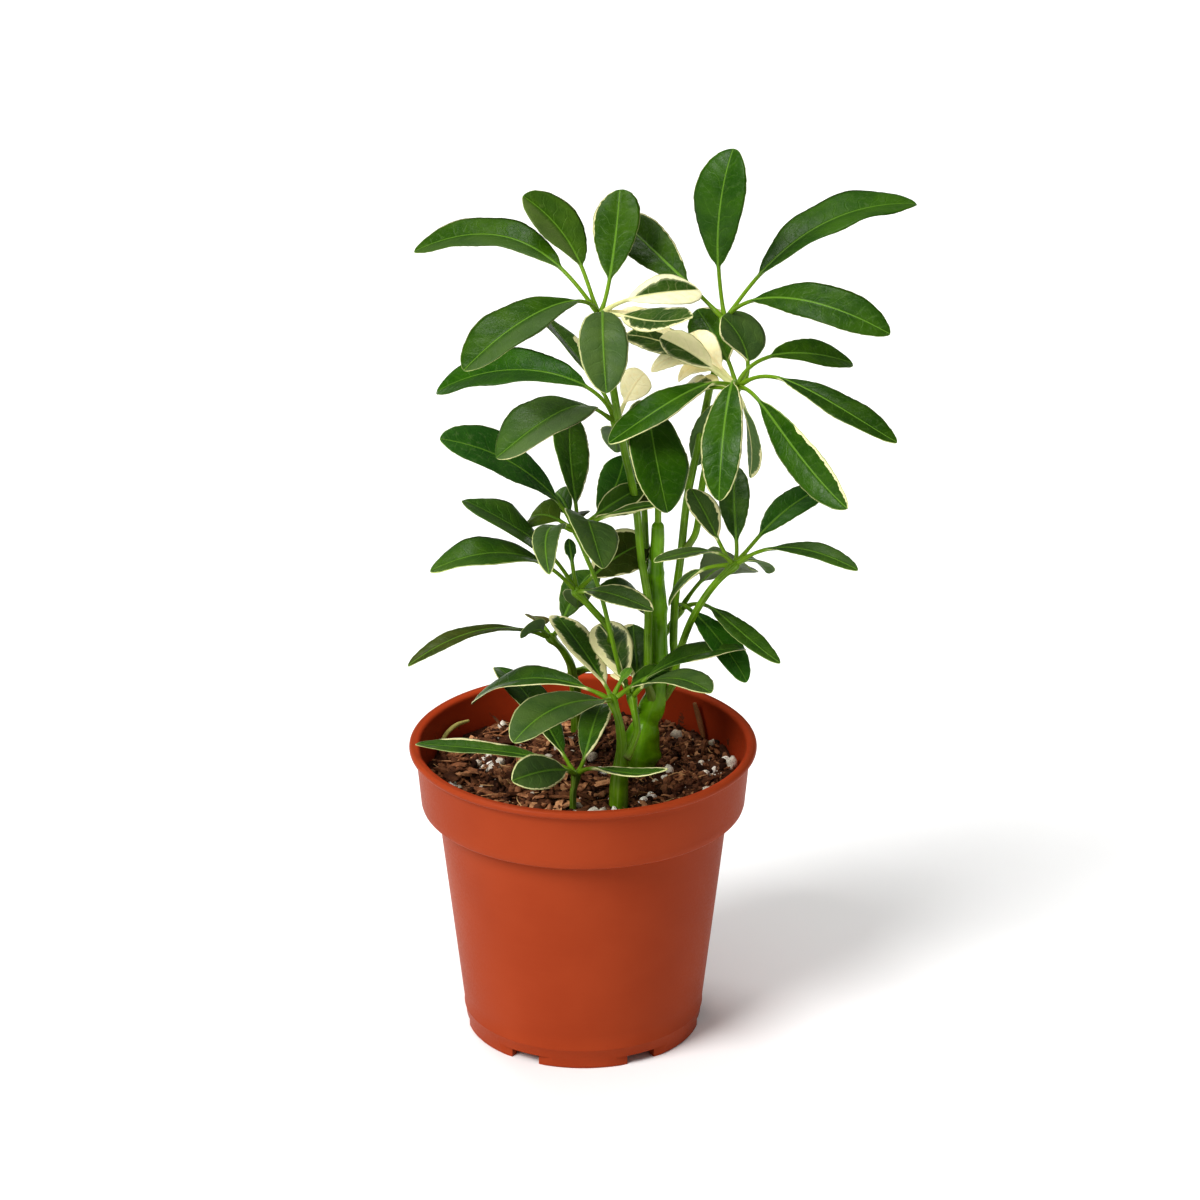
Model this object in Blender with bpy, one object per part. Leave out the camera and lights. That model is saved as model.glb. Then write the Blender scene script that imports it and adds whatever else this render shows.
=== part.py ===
# Potted dwarf schefflera: a 4-inch nursery pot, potting mix, three stems, leaf stalks that each end
# in a knob, and the leaflets that spread from every knob like fingers of a hand.
# Lengths are millimetres until new_object makes them metres, +Z is up, -Y is the front, and the pot
# stands on z = 0. Heights of the plant are counted from the top of the potting mix.

import bpy
import bmesh
from math import atan2, cos, pi, radians, sin, sqrt
from mathutils import Matrix, Vector

MM = 0.001

# Pot
POT_HEIGHT = 95.4
BASE_RADIUS = 36.7
NECK_RADIUS = 45.4            # wall just under the collar
COLLAR_BOTTOM_RADIUS = 50.3
COLLAR_TOP_RADIUS = 52.0
LIP_RADIUS = 54.0
COLLAR_HEIGHT = 20.7
LIP_HEIGHT = 2.4
WALL = 1.4
FLOOR_UNDERSIDE = 3.8
FOOT_WIDTH = 3.4
CENTRE_PAD_RADIUS = 12.0
MOULD_LINE_HEIGHT = 6.7
MOULD_LINE_PROUD = 0.25
DRAIN_NOTCHES = 6
DRAIN_NOTCH_HEIGHT = 3.3
DRAIN_NOTCH_HALF_WIDTH = 4.8
DRAIN_FACET_HALF_WIDTH = 10.0
DRAIN_FACET_DISTANCE = 35.9   # flat facet each side of a notch, from the pot's axis
POT_STEPS = 40

# Potting mix
MIX_BELOW_RIM = 11.4
MIX_LEVEL = POT_HEIGHT - MIX_BELOW_RIM
MIX_SWELL = 1.0
MIX_STEPS = 20
MIX_RINGS = 5

# Fits
GAP = 0.35                    # clear space kept between pieces that meet
BURIED = 14.0                 # how deep a stem goes into the mix
POCKET_CLEARANCE = 6.0        # how far a stem's pocket is cut past the mix's top

# Leaves
KNOB_RADIUS = 2.6
STALK_RADIUS = 0.7
BLADE_THICKNESS = 0.8
BLADE_EDGE = 0.5
BLADE_FOLD = 10               # degrees that each half of a blade lifts from its rib
BLADE_SHOULDER = 1.0          # power of the widening from the stalk
BLADE_POINT = 0.62            # power of the narrowing to the tip
STALK_PULL = 0.22             # how far the stalk's own direction carries, as a share of the leaflet
BEND_PLACE = 0.6              # where along the leaflet arch and bow act
BEND_GAIN = 1.6               # handle offset that moves the middle of the curve by about one arch
BLADE_STATIONS = (0.0, 0.1, 0.2, 0.32, 0.46, 0.6, 0.74, 0.88)
STEM_SIDES = 12
STEM_STEP = 5.0
PETIOLE_STEP = 7.0
FOOT_LEAN = 0.3               # extra space for the part of a petiole foot that leans to its stem
PETIOLE_SIDES = 8

TERRACOTTA = (0.50, 0.13, 0.05)
MIX_BROWN = (0.09, 0.05, 0.03)
STEM_GREEN = (0.18, 0.32, 0.04)
LEAF_GREEN = (0.05, 0.17, 0.03)

# Stems: the first point is just above the mix, each point is (x, y, height above the mix, radius).
STEMS = {
    "trunk": [
        (17, 4, 4, 4.7), (18.5, 4.2, 11, 4.6), (20.5, 4.6, 18, 3.9), (22.5, 5, 24, 3.3),
        (23.5, 5.2, 32, 2.9), (23.5, 5.5, 44, 2.7), (23, 6, 56, 2.9), (22.5, 6, 66, 2.4),
        (23, 5.5, 76, 2.1), (23, 5, 81, 1.9)],
    "front_stem": [
        (11, -22, 4, 2.9), (11.5, -21, 11, 2.8), (12, -20, 19, 2.4), (10.8, -17.8, 27, 1.8),
        (9, -16, 32, 1.6)],
    "rear_stem": [
        (-2, 34, 4, 2.5), (-2, 31.5, 11, 2.3), (-3, 27, 20, 2), (-4, 22, 28, 1.7), (-7, 18, 35, 1.4),
        (-10, 14, 40, 1.3)],
    "soil_level_stem": [(-3, -25, 4, 1.3), (-2.6, -25, 7, 1.2), (-2, -25, 11, 1.2)],
}

# Petioles: the stem each one grows from, the height above the mix and the heading of its foot there,
# its radius, and the points its middle follows up to the knob, also counted from the mix.
PETIOLES = {
    "crown": ("trunk", 28, -125, 1.35, [
        (20, 0.5, 34), (20, 0.5, 46), (20, 1, 58), (18, 2, 71), (16, 2, 91), (13, 2, 105), (11, 2, 116),
        (8, 2, 134), (5, 2, 150)]),
    "left": ("trunk", 62, 120, 1.15, [
        (19.5, 10, 70), (18.5, 9.5, 88), (15.5, 9, 102), (12.5, 8, 109), (10, 7, 114)]),
    "inner": ("trunk", 82, 0, 1.1, [
        (23, 3, 92), (23, 0, 100), (22, -4, 113), (19, -6, 124)]),
    "upper_right": ("trunk", 34, 25, 1.35, [
        (28, 8, 41), (28.5, 9, 55), (30, 9, 68), (32, 10, 88), (35, 10, 104), (39, 11, 125),
        (42, 12, 135), (43, 12, 145)]),
    "right": ("upper_right", 74, -20, 1.15, [
        (35.5, 9, 82), (36.5, 8.5, 93), (39, 4, 108), (42.5, -4, 122), (46, -12, 132)]),
    "mid_right": ("trunk", 28, -20, 1.25, [
        (29, 1.5, 37), (31, 0.5, 45), (33.5, -2, 53), (37, -5, 61), (41, -8, 68), (46, -10, 74)]),
    "low_right": ("trunk", 37, 95, 1.1, [
        (25, 13, 41), (28, 15.5, 45), (30, 15, 49)]),
    "mid_left": ("trunk", 20, -150, 1.2, [
        (15, -1, 25), (12, -4, 34), (9, -6, 48), (6, -8, 62), (4, -9, 69), (1, -10, 77),
        (-2, -10, 85)]),
    "low_left": ("rear_stem", 24, 5, 1.2, [
        (3, 18, 28), (7, 11, 36), (8.5, 4, 46), (4, -2, 55), (-2, -4, 63)]),
    "front_right": ("front_stem", 19, 20, 1.3, [
        (16.5, -16.5, 24), (15, -12, 31)]),
}

# Leaflets of each whorl. Angles are degrees, headings are counted from +X through +Y, lengths are mm:
# seat and lift give the direction in which the stalk leaves the knob, heading, rise and reach place the
# tip, arch lifts the back of the leaflet and bow bends it sideways, roll turns the blade about its rib.
#   seat lift heading rise reach arch bow width roll stalk
LEAFLETS = {
    "crown": [
        (170, 55, 150, 8, 66, 12, 9, 17, -15, 14),
        (115, 40, 133, 41, 45, 0, 7, 18, 0, 14),
        (75, 15, 81, 33, 49, 2, 1, 15, -5, 12),
        (-115, 50, -134, -3, 57, 9, -3, 20, -5, 10),
        (-80, 30, -87, -13, 43, 11, 1, 15, 0, 8),
        (25, 30, 26, 5, 34, 2, 2, 14, 25, 6),
    ],
    "left": [
        (180, 70, 157, 1, 60, 10, 2, 21, -15, 10),
        (-145, 40, -133, 3, 52, 12, -8, 22, -5, 9),
        (115, 50, 121, 27, 48, 3, -2, 15, 30, 8),
    ],
    "inner": [
        (-90, 40, -82, -22, 47, 12, 3, 21, -25, 8),
    ],
    "upper_right": [
        (145, 35, 130, 22, 55, 2, -2, 15, -30, 14),
        (95, 20, 77, 78, 52, 7, -2, 18, -15, 14),
        (50, 35, 31, 20, 74, 9, -6, 23, 0, 14),
        (-50, 50, -35, 7, 59, 9, 5, 15, 30, 10),
    ],
    "right": [
        (-140, 30, -139, -6, 51, 5, -4, 13, -10, 8),
        (-100, 45, -99, -31, 43, 11, 0, 13, 10, 6),
        (-65, 20, -57, -19, 61, 2, 4, 12, 65, 10),
        (-20, 40, -40, -3, 60, 5, 4, 13, 5, 14),
        (55, 5, 102, 40, 25, -1, 5, 21, 25, 9),
        (40, 55, 38, -3, 46, 4, -2, 13, 25, 12),
    ],
    "mid_right": [
        (115, 10, 129, 42, 28, 2, -1, 12, 5, 7),
        (80, 5, 88, 25, 42, 0, -1, 10, -5, 8),
        (45, 30, 50, 15, 47, 2, -2, 11, 15, 9),
        (-15, 40, -35, 11, 45, 6, 2, 9, 10, 10),
    ],
    "low_right": [
        (20, 55, -38, 37, 34, 6, -4, 16, -50, 8),
        (-25, 35, -49, -4, 46, 4, 4, 8, 10, 9),
    ],
    "mid_left": [
        (175, 65, -165, 39, 54, 6, -1, 18, -30, 8),
        (85, 10, 92, 30, 47, 3, -2, 14, 35, 8),
        (50, 5, 66, 19, 38, 0, 3, 12, 10, 7),
        (-125, 30, -102, 1, 37, 8, 4, 9, 10, 5),
        (-50, 45, -76, 2, 34, 9, 2, 18, -25, 5),
    ],
    "low_left": [
        (140, 50, -171, 43, 47, 5, -10, 19, -15, 14),
        (-145, 50, -159, 16, 49, 12, -7, 18, -10, 14),
        (-55, 20, -48, 7, 35, 4, 4, 11, 10, 2),
    ],
    "rear_low": [
        (-145, 30, -142, 5, 55, 8, -2, 9, 0, 6),
    ],
    "front_left": [
        (170, 25, 157, -11, 48, 8, 0, 15, -5, 4),
        (-110, 20, -128, 3, 48, 7, 0, 16, -10, 3),
        (100, 5, 115, 17, 43, 3, -1, 14, 15, 4),
    ],
    "front_right": [
        (15, 60, 10, 21, 38, 5, 2, 17, -5, 4),
        (-50, 50, -47, 20, 37, 5, 0, 13, 5, 3),
    ],
    "soil_level": [
        (180, 35, 163, 4, 52, 2, -2, 11, 0, 5),
        (-120, 35, -126, 17, 34, 2, -1, 12, -50, 3),
        (115, 15, 120, 19, 53, 4, 1, 15, 15, 5),
    ],
}
WHORL_ON_STEM = {"front_left": "front_stem", "rear_low": "rear_stem", "soil_level": "soil_level_stem"}


# ---- meshes ----

def direction(heading, rise):
    h, r = radians(heading), radians(rise)
    return Vector((cos(h) * cos(r), sin(h) * cos(r), sin(r)))


def new_object(name, verts, faces, colour, roughness, level=0.0):
    """Makes an object of points in mm whose heights are counted from level."""
    mesh = bpy.data.meshes.new(name)
    mesh.from_pydata([(Vector(v) + Vector((0, 0, level))) * MM for v in verts], [], faces)
    shaped = bmesh.new()
    shaped.from_mesh(mesh)
    bmesh.ops.recalc_face_normals(shaped, faces=shaped.faces)
    bmesh.ops.triangulate(shaped, faces=[f for f in shaped.faces if len(f.verts) > 3])
    shaped.to_mesh(mesh)
    shaped.free()
    for face in mesh.polygons:
        face.use_smooth = True
    mesh.set_sharp_from_angle(angle=radians(50))
    obj = bpy.data.objects.new(name, mesh)
    bpy.context.scene.collection.objects.link(obj)
    material = bpy.data.materials.new(name)
    material.use_nodes = True
    shader = material.node_tree.nodes["Principled BSDF"]
    shader.inputs["Base Color"].default_value = (*colour, 1)
    shader.inputs["Roughness"].default_value = roughness
    mesh.materials.append(material)
    return obj


def skin(rings, pole_start=None, pole_end=None):
    """Joins rings of points into a closed skin; an end without a pole gets a flat cap."""
    verts, faces = [], []
    sides = len(rings[0])
    for ring in rings:
        verts += [Vector(p) for p in ring]
    for k in range(len(rings) - 1):
        for i in range(sides):
            j = (i + 1) % sides
            faces.append((k * sides + i, k * sides + j, (k + 1) * sides + j, (k + 1) * sides + i))
    for first, pole in ((0, pole_start), ((len(rings) - 1) * sides, pole_end)):
        if pole is None:
            faces.append(tuple(range(first, first + sides)))
        else:
            verts.append(Vector(pole))
            faces += [(first + i, first + (i + 1) % sides, len(verts) - 1) for i in range(sides)]
    return verts, faces


def smooth_path(points, step):
    """Points about step apart on a Catmull-Rom curve through the given ones."""
    points = [Vector(p) for p in points]
    ends = [points[0] * 2 - points[1]] + points + [points[-1] * 2 - points[-2]]
    path = [points[0]]
    for a, b, c, d in zip(ends, ends[1:], ends[2:], ends[3:]):
        parts = max(1, round((c - b).length / step))
        for k in range(1, parts + 1):
            t = k / parts
            path.append(0.5 * ((2 * b) + (c - a) * t + (2 * a - 5 * b + 4 * c - d) * t * t
                               + (3 * b - a - 3 * c + d) * t ** 3))
    return path


def tangents(path):
    inner = [(path[k + 1] - path[k - 1]).normalized() for k in range(1, len(path) - 1)]
    return [(path[1] - path[0]).normalized()] + inner + [(path[-1] - path[-2]).normalized()]


def tube_rings(path, radii, sides):
    along = tangents(path)
    across = along[0].orthogonal().normalized()
    rings = []
    for point, ahead, radius in zip(path, along, radii):
        across = (across - ahead * across.dot(ahead)).normalized()
        other = ahead.cross(across)
        rings.append([point + (across * cos(2 * pi * i / sides) + other * sin(2 * pi * i / sides)) * radius
                      for i in range(sides)])
    return rings


def knob_rings(hub, ahead, start_radius, sides):
    """Rings of the round knob at the end of a stalk, and its far pole."""
    first = -sqrt(1 - (start_radius / KNOB_RADIUS) ** 2)
    across = ahead.orthogonal().normalized()
    other = ahead.cross(across)
    rings = []
    for height in (first * 0.8, -0.2, 0.45, 0.85):
        radius = KNOB_RADIUS * sqrt(1 - height * height)
        rings.append([hub + ahead * height * KNOB_RADIUS
                      + (across * cos(2 * pi * i / sides) + other * sin(2 * pi * i / sides)) * radius
                      for i in range(sides)])
    return rings, hub + ahead * KNOB_RADIUS


# ---- pot and potting mix ----

def lathe(name, outline, steps, colour, roughness):
    """Turns an outline of (radius, height) points that starts and ends on the axis."""
    rings = [[(r * cos(2 * pi * i / steps), r * sin(2 * pi * i / steps), z) for i in range(steps)]
             for r, z in outline[1:-1]]
    verts, faces = skin(rings, (0, 0, outline[0][1]), (0, 0, outline[-1][1]))
    return new_object(name, verts, faces, colour, roughness)


def wall_radius(z):
    return BASE_RADIUS + (NECK_RADIUS - BASE_RADIUS) * z / (POT_HEIGHT - COLLAR_HEIGHT)


def collar_radius(z):
    share = (z - POT_HEIGHT + COLLAR_HEIGHT) / (COLLAR_HEIGHT - LIP_HEIGHT)
    return COLLAR_BOTTOM_RADIUS + (COLLAR_TOP_RADIUS - COLLAR_BOTTOM_RADIUS) * share


def build_pot():
    ledge = POT_HEIGHT - COLLAR_HEIGHT
    lip = POT_HEIGHT - LIP_HEIGHT
    floor_top = FLOOR_UNDERSIDE + WALL
    foot = BASE_RADIUS - FOOT_WIDTH
    line = MOULD_LINE_HEIGHT
    outline = [
        (0, 0), (CENTRE_PAD_RADIUS, 0), (CENTRE_PAD_RADIUS + 0.6, FLOOR_UNDERSIDE),
        (foot - 0.4, FLOOR_UNDERSIDE), (foot, 0.4), (foot + 0.4, 0),
        (BASE_RADIUS - 0.6, 0), (BASE_RADIUS, 0.6),
        (wall_radius(line - 0.4), line - 0.4), (wall_radius(line) + MOULD_LINE_PROUD, line),
        (wall_radius(line + 0.4), line + 0.4),
        (wall_radius(ledge - 1), ledge - 1), (NECK_RADIUS + 0.5, ledge), (COLLAR_BOTTOM_RADIUS - 0.8, ledge),
        (COLLAR_BOTTOM_RADIUS, ledge + 0.9), (collar_radius(lip), lip), (LIP_RADIUS - 0.5, lip + 0.3),
        (LIP_RADIUS, lip + 1.2), (LIP_RADIUS - 0.5, POT_HEIGHT - 0.2), (LIP_RADIUS - 1.3, POT_HEIGHT),
        (COLLAR_TOP_RADIUS - 0.4, POT_HEIGHT - 0.2), (COLLAR_TOP_RADIUS - WALL, lip),
        (COLLAR_BOTTOM_RADIUS - WALL - 0.3, ledge + WALL + 0.5),
        (COLLAR_BOTTOM_RADIUS - WALL - 1.2, ledge + WALL),
        (NECK_RADIUS - WALL + 0.5, ledge + WALL), (wall_radius(ledge - 1) - WALL, ledge - 1),
        (wall_radius(floor_top) - WALL, floor_top + 1), (wall_radius(floor_top) - WALL - 1, floor_top),
        (0, floor_top),
    ]
    pot = lathe("nursery_pot", outline, POT_STEPS, TERRACOTTA, 0.55)
    cut_drain_notches(pot)
    return pot


def cut_drain_notches(pot):
    """Six gaps through the foot ring, each in the middle of a shallow flat facet."""
    inside, outside = BASE_RADIUS - 2.8 * FOOT_WIDTH, BASE_RADIUS + 6
    plan = [(inside, -DRAIN_NOTCH_HALF_WIDTH), (DRAIN_FACET_DISTANCE, -DRAIN_NOTCH_HALF_WIDTH),
            (DRAIN_FACET_DISTANCE, -DRAIN_FACET_HALF_WIDTH), (outside, -DRAIN_FACET_HALF_WIDTH)]
    plan += [(x, -y) for x, y in reversed(plan)]
    verts, faces = [], []
    for k in range(DRAIN_NOTCHES):
        turn = Matrix.Rotation(2 * pi * k / DRAIN_NOTCHES, 3, "Z")
        low = [turn @ Vector((x, y, -2)) for x, y in plan]
        high = [turn @ Vector((x, y, DRAIN_NOTCH_HEIGHT)) for x, y in plan]
        prism, prism_faces = skin([low, high])
        faces += [tuple(i + len(verts) for i in face) for face in prism_faces]
        verts += prism
    cutter = new_object("drain_notch_cutter", verts, faces, TERRACOTTA, 0.5)
    subtract(pot, cutter)


def subtract(obj, cutter):
    cutter.hide_render = True
    cutter.display_type = "WIRE"
    cut = obj.modifiers.new("cut", "BOOLEAN")
    cut.operation = "DIFFERENCE"
    cut.solver = "EXACT"
    cut.object = cutter


def mix_height(x, y):
    """Gently uneven top of the potting mix, a little lower at the wall."""
    swell = sin(0.13 * x + 0.8) * cos(0.11 * y - 0.5) + 0.6 * sin(0.23 * x - 0.19 * y)
    return MIX_LEVEL + MIX_SWELL * (0.6 * swell - 0.9 * ((x * x + y * y) / 2300) ** 2)


def build_mix():
    ledge = POT_HEIGHT - COLLAR_HEIGHT
    floor_top = FLOOR_UNDERSIDE + WALL + GAP
    reach = collar_radius(MIX_LEVEL) - WALL - GAP - 0.4
    side = [(wall_radius(floor_top) - WALL - 1.6, floor_top),
            (wall_radius(floor_top) - WALL - GAP - 0.1, floor_top + 1.4),
            (wall_radius(ledge - 1) - WALL - GAP, ledge - 1),
            (NECK_RADIUS - WALL - GAP, ledge + WALL + GAP + 0.1),
            (COLLAR_BOTTOM_RADIUS - WALL - 1.7, ledge + WALL + GAP + 0.1),
            (COLLAR_BOTTOM_RADIUS - WALL - GAP - 0.5, ledge + WALL + 1.3)]
    rings = [[(r * cos(2 * pi * i / MIX_STEPS), r * sin(2 * pi * i / MIX_STEPS), z) for i in range(MIX_STEPS)]
             for r, z in side]
    for k in range(MIX_RINGS):
        r = reach * (1 - k / MIX_RINGS)
        ring = [(r * cos(2 * pi * i / MIX_STEPS), r * sin(2 * pi * i / MIX_STEPS)) for i in range(MIX_STEPS)]
        rings.append([(x, y, mix_height(x, y)) for x, y in ring])
    verts, faces = skin(rings, (0, 0, floor_top), (0, 0, mix_height(0, 0)))
    mix = new_object("potting_mix", verts, faces, MIX_BROWN, 0.95)
    for name, route in STEMS.items():
        x, y, z, radius = route[0]
        ends = [Vector((x, y, -BURIED - GAP)), Vector((x, y, z + POCKET_CLEARANCE))]
        rings = tube_rings(ends, [radius + GAP] * 2, STEM_SIDES)
        pocket = new_object(name + "_pocket_cutter", *skin(rings), MIX_BROWN, 0.9, MIX_LEVEL)
        subtract(mix, pocket)


# ---- stems and petioles ----

def build_stem(name, whorl):
    """A stem from its buried foot up to a blunt top or to the knob of the whorl it carries."""
    route = STEMS[name]
    x, y, z, radius = route[0]
    middle = smooth_path([p[:3] for p in route], STEM_STEP)
    heights = [p[2] for p in route]
    radii = [radius_at(route, heights, p.z) for p in middle]
    path = [Vector((x, y, -BURIED))] + middle
    radii = [radius] + radii
    ahead = (path[-1] - path[-2]).normalized()
    if whorl is None:
        rings = tube_rings(path, radii, STEM_SIDES)
        top = path[-1] + ahead * radii[-1] * 0.75
        last = [path[-1] + ahead * radii[-1] * 0.5 + (Vector(p) - path[-1]) * 0.7 for p in rings[-1]]
        verts, faces = skin(rings + [last], None, top)
    else:
        verts, faces = stalk_with_knob(path, radii, STEM_SIDES)
    new_object(name, verts, faces, STEM_GREEN, 0.45, MIX_LEVEL)


def radius_at(route, heights, z):
    for k in range(len(route) - 1):
        if z <= heights[k + 1] or k == len(route) - 2:
            share = min(1, max(0, (z - heights[k]) / (heights[k + 1] - heights[k])))
            return route[k][3] + (route[k + 1][3] - route[k][3]) * share


def stalk_with_knob(path, radii, sides):
    """A tube along path whose last point is the middle of a knob."""
    hub = path[-1]
    ahead = (path[-1] - path[-2]).normalized()
    kept = [k for k in range(len(path) - 1) if (path[k] - hub).length > KNOB_RADIUS * 1.15]
    rings = tube_rings([path[k] for k in kept], [radii[k] for k in kept], sides)
    bulb, pole = knob_rings(hub, ahead, radii[-1], sides)
    return skin(rings + [turned_to(ring, rings[-1], hub, ahead) for ring in bulb], None, pole)


def turned_to(ring, reference, hub, ahead):
    """Turns a ring about ahead so that its first point lies on the same side as the reference's."""
    middle = sum((Vector(p) for p in reference), Vector()) / len(reference)
    centre = sum((Vector(p) for p in ring), Vector()) / len(ring)
    want = Vector(reference[0]) - middle
    want = (want - ahead * want.dot(ahead)).normalized()
    have = (Vector(ring[0]) - centre).normalized()
    angle = atan2(ahead.dot(have.cross(want)), have.dot(want))
    turn = Matrix.Rotation(angle, 3, ahead)
    return [centre + turn @ (Vector(p) - centre) for p in ring]


def axis_point(name, z):
    """The middle and the radius of a stem or petiole at a height."""
    if name in STEMS:
        route = STEMS[name]
        path = smooth_path([p[:3] for p in route], 1)
        radius = radius_at(route, [p[2] for p in route], z)
    else:
        path = petiole_path(name)
        radius = PETIOLES[name][3]
    return min(path, key=lambda p: abs(p.z - z)), radius


def petiole_path(name):
    parent, height, heading, radius, points = PETIOLES[name]
    middle, parent_radius = axis_point(parent, height)
    if parent in STEMS and height > STEMS[parent][-1][2]:
        foot = middle + Vector((0, 0, parent_radius * 0.75 + 2 * GAP))
        return smooth_path([foot, foot + Vector((0, 0, 1.5))] + points, PETIOLE_STEP)
    out = direction(heading, 8)
    foot = middle + out * (parent_radius + GAP + FOOT_LEAN)
    return smooth_path([foot, foot + out * 1.8 + Vector((0, 0, 0.6))] + points, PETIOLE_STEP)


def build_petiole(name):
    path = petiole_path(name)
    radius = PETIOLES[name][3]
    radii = [radius * (1.1 - 0.1 * k / (len(path) - 1)) for k in range(len(path))]
    verts, faces = stalk_with_knob(path, radii, PETIOLE_SIDES)
    new_object(name + "_petiole", verts, faces, STEM_GREEN, 0.45, MIX_LEVEL)


# ---- leaflets ----

def blade_width(share):
    """Half width of a blade, 0 to 1, along its length."""
    if share <= 0 or share >= 1:
        return 0
    widest = BLADE_SHOULDER / (BLADE_SHOULDER + BLADE_POINT)
    most = widest ** BLADE_SHOULDER * (1 - widest) ** BLADE_POINT
    return share ** BLADE_SHOULDER * (1 - share) ** BLADE_POINT / most


def build_leaflet(name, hub, leaflet):
    seat, lift, heading, rise, reach, arch, bow, width, roll, stalk = leaflet
    outward = direction(seat, lift)
    start = hub + outward * (KNOB_RADIUS + GAP)
    tip = hub + direction(heading, rise) * reach
    chord = tip - start
    along = chord.normalized()
    up = (Vector((0, 0, 1)) - along * along.z).normalized()
    side = along.cross(up)
    bend = start + chord * BEND_PLACE + (up * arch + side * bow) * BEND_GAIN
    handles = (start, start + outward * chord.length * STALK_PULL, bend, tip)
    path = [bezier(handles, t) for t in BLADE_STATIONS]
    lengths = [0]
    for a, b in zip(path, path[1:] + [tip]):
        lengths.append(lengths[-1] + (b - a).length)
    rings = []
    for point, t, length in zip(path, BLADE_STATIONS, lengths):
        ahead = bezier_slope(handles, t)
        normal = (up - ahead * up.dot(ahead)).normalized()
        normal = Matrix.Rotation(radians(roll), 3, ahead) @ normal
        across = ahead.cross(normal)
        share = (length - stalk) / (lengths[-1] - stalk)
        half = max(STALK_RADIUS, width / 2 * blade_width(share))
        on_stalk = max(0, 1 - (half - STALK_RADIUS) / 2)
        middle = BLADE_THICKNESS / 2 + (STALK_RADIUS - BLADE_THICKNESS / 2) * on_stalk
        edge = BLADE_EDGE / 2 + 0.1 * on_stalk
        fold = radians(BLADE_FOLD) * (1 - on_stalk)
        left = point + (-across * cos(fold) + normal * sin(fold)) * half
        right = point + (across * cos(fold) + normal * sin(fold)) * half
        rings.append([left + normal * edge, point + normal * middle, right + normal * edge,
                      right - normal * edge, point - normal * middle, left - normal * edge])
    verts, faces = skin(rings, None, tip)
    new_object(name, verts, faces, LEAF_GREEN, 0.4, MIX_LEVEL)


def bezier(handles, t):
    a, b, c, d = handles
    return a * (1 - t) ** 3 + b * 3 * t * (1 - t) ** 2 + c * 3 * t * t * (1 - t) + d * t ** 3


def bezier_slope(handles, t):
    a, b, c, d = handles
    return ((b - a) * (1 - t) ** 2 + (c - b) * 2 * t * (1 - t) + (d - c) * t * t).normalized()


def hub_of(whorl):
    if whorl in WHORL_ON_STEM:
        return Vector(STEMS[WHORL_ON_STEM[whorl]][-1][:3])
    return Vector(PETIOLES[whorl][4][-1])


# ---- the whole plant ----

for old in list(bpy.data.objects):
    bpy.data.objects.remove(old)

build_pot()
build_mix()
carried = {stem: whorl for whorl, stem in WHORL_ON_STEM.items()}
for stem in STEMS:
    build_stem(stem, carried.get(stem))
for petiole in PETIOLES:
    build_petiole(petiole)
for whorl, leaflets in LEAFLETS.items():
    for number, leaflet in enumerate(leaflets, 1):
        build_leaflet(f"{whorl}_leaflet_{number}", hub_of(whorl), leaflet)
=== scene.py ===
import math
import random

import bmesh
import bpy
import numpy as np
from mathutils import Matrix, Vector, noise as noiseLib
from mathutils.bvhtree import BVHTree


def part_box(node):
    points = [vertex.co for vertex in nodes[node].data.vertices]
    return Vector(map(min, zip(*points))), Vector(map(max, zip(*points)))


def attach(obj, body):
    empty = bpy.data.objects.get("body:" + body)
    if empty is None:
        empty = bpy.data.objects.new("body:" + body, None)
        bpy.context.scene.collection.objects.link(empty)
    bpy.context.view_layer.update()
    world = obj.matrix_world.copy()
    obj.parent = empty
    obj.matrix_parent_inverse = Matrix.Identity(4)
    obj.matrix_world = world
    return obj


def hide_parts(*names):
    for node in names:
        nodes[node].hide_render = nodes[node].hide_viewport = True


# A potted dwarf schefflera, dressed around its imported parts.
# Lengths here are millimetres, and newMesh turns them into metres. +Z is up and -Y is the front.

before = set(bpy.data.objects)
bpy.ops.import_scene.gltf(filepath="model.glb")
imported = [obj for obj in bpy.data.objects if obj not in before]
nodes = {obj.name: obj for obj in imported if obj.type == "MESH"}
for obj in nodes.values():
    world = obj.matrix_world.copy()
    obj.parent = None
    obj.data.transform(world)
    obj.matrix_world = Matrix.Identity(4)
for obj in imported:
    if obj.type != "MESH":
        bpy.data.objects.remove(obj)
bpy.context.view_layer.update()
metre = 0.001
print("frame loaded:", len(nodes), "parts")


# meshes and pieces

def newMesh(name, points, faces, values=None, map=None, smooth=True):
    mesh = bpy.data.meshes.new(name)
    mesh.from_pydata((np.asarray(points, float) * metre).tolist(), [], faces)
    for key, numbers in (values or {}).items():
        mesh.attributes.new(key, "FLOAT", "POINT").data.foreach_set("value", np.asarray(numbers, np.float32))
    if map is not None:
        corners = np.empty(len(mesh.loops), np.int32)
        mesh.loops.foreach_get("vertex_index", corners)
        layer = mesh.uv_layers.new(name="surfaceMap")
        layer.data.foreach_set("uv", np.asarray(map, np.float32)[corners].ravel())
    mesh.polygons.foreach_set("use_smooth", [smooth] * len(mesh.polygons))
    mesh.update()
    return mesh


def newPiece(name, mesh, material, replaced=()):
    piece = bpy.data.objects.new(name, mesh)
    bpy.context.scene.collection.objects.link(piece)
    mesh.materials.append(material)
    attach(piece, "root")
    if replaced:
        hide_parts(*replaced)
    return piece


def ringFaces(rings, sides, first=0):
    # quads between closed rings of points that follow each other
    faces = []
    for k in range(rings - 1):
        for i in range(sides):
            j = (i + 1) % sides
            a, b = first + k * sides, first + (k + 1) * sides
            faces.append((a + i, a + j, b + j, b + i))
    return faces


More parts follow.
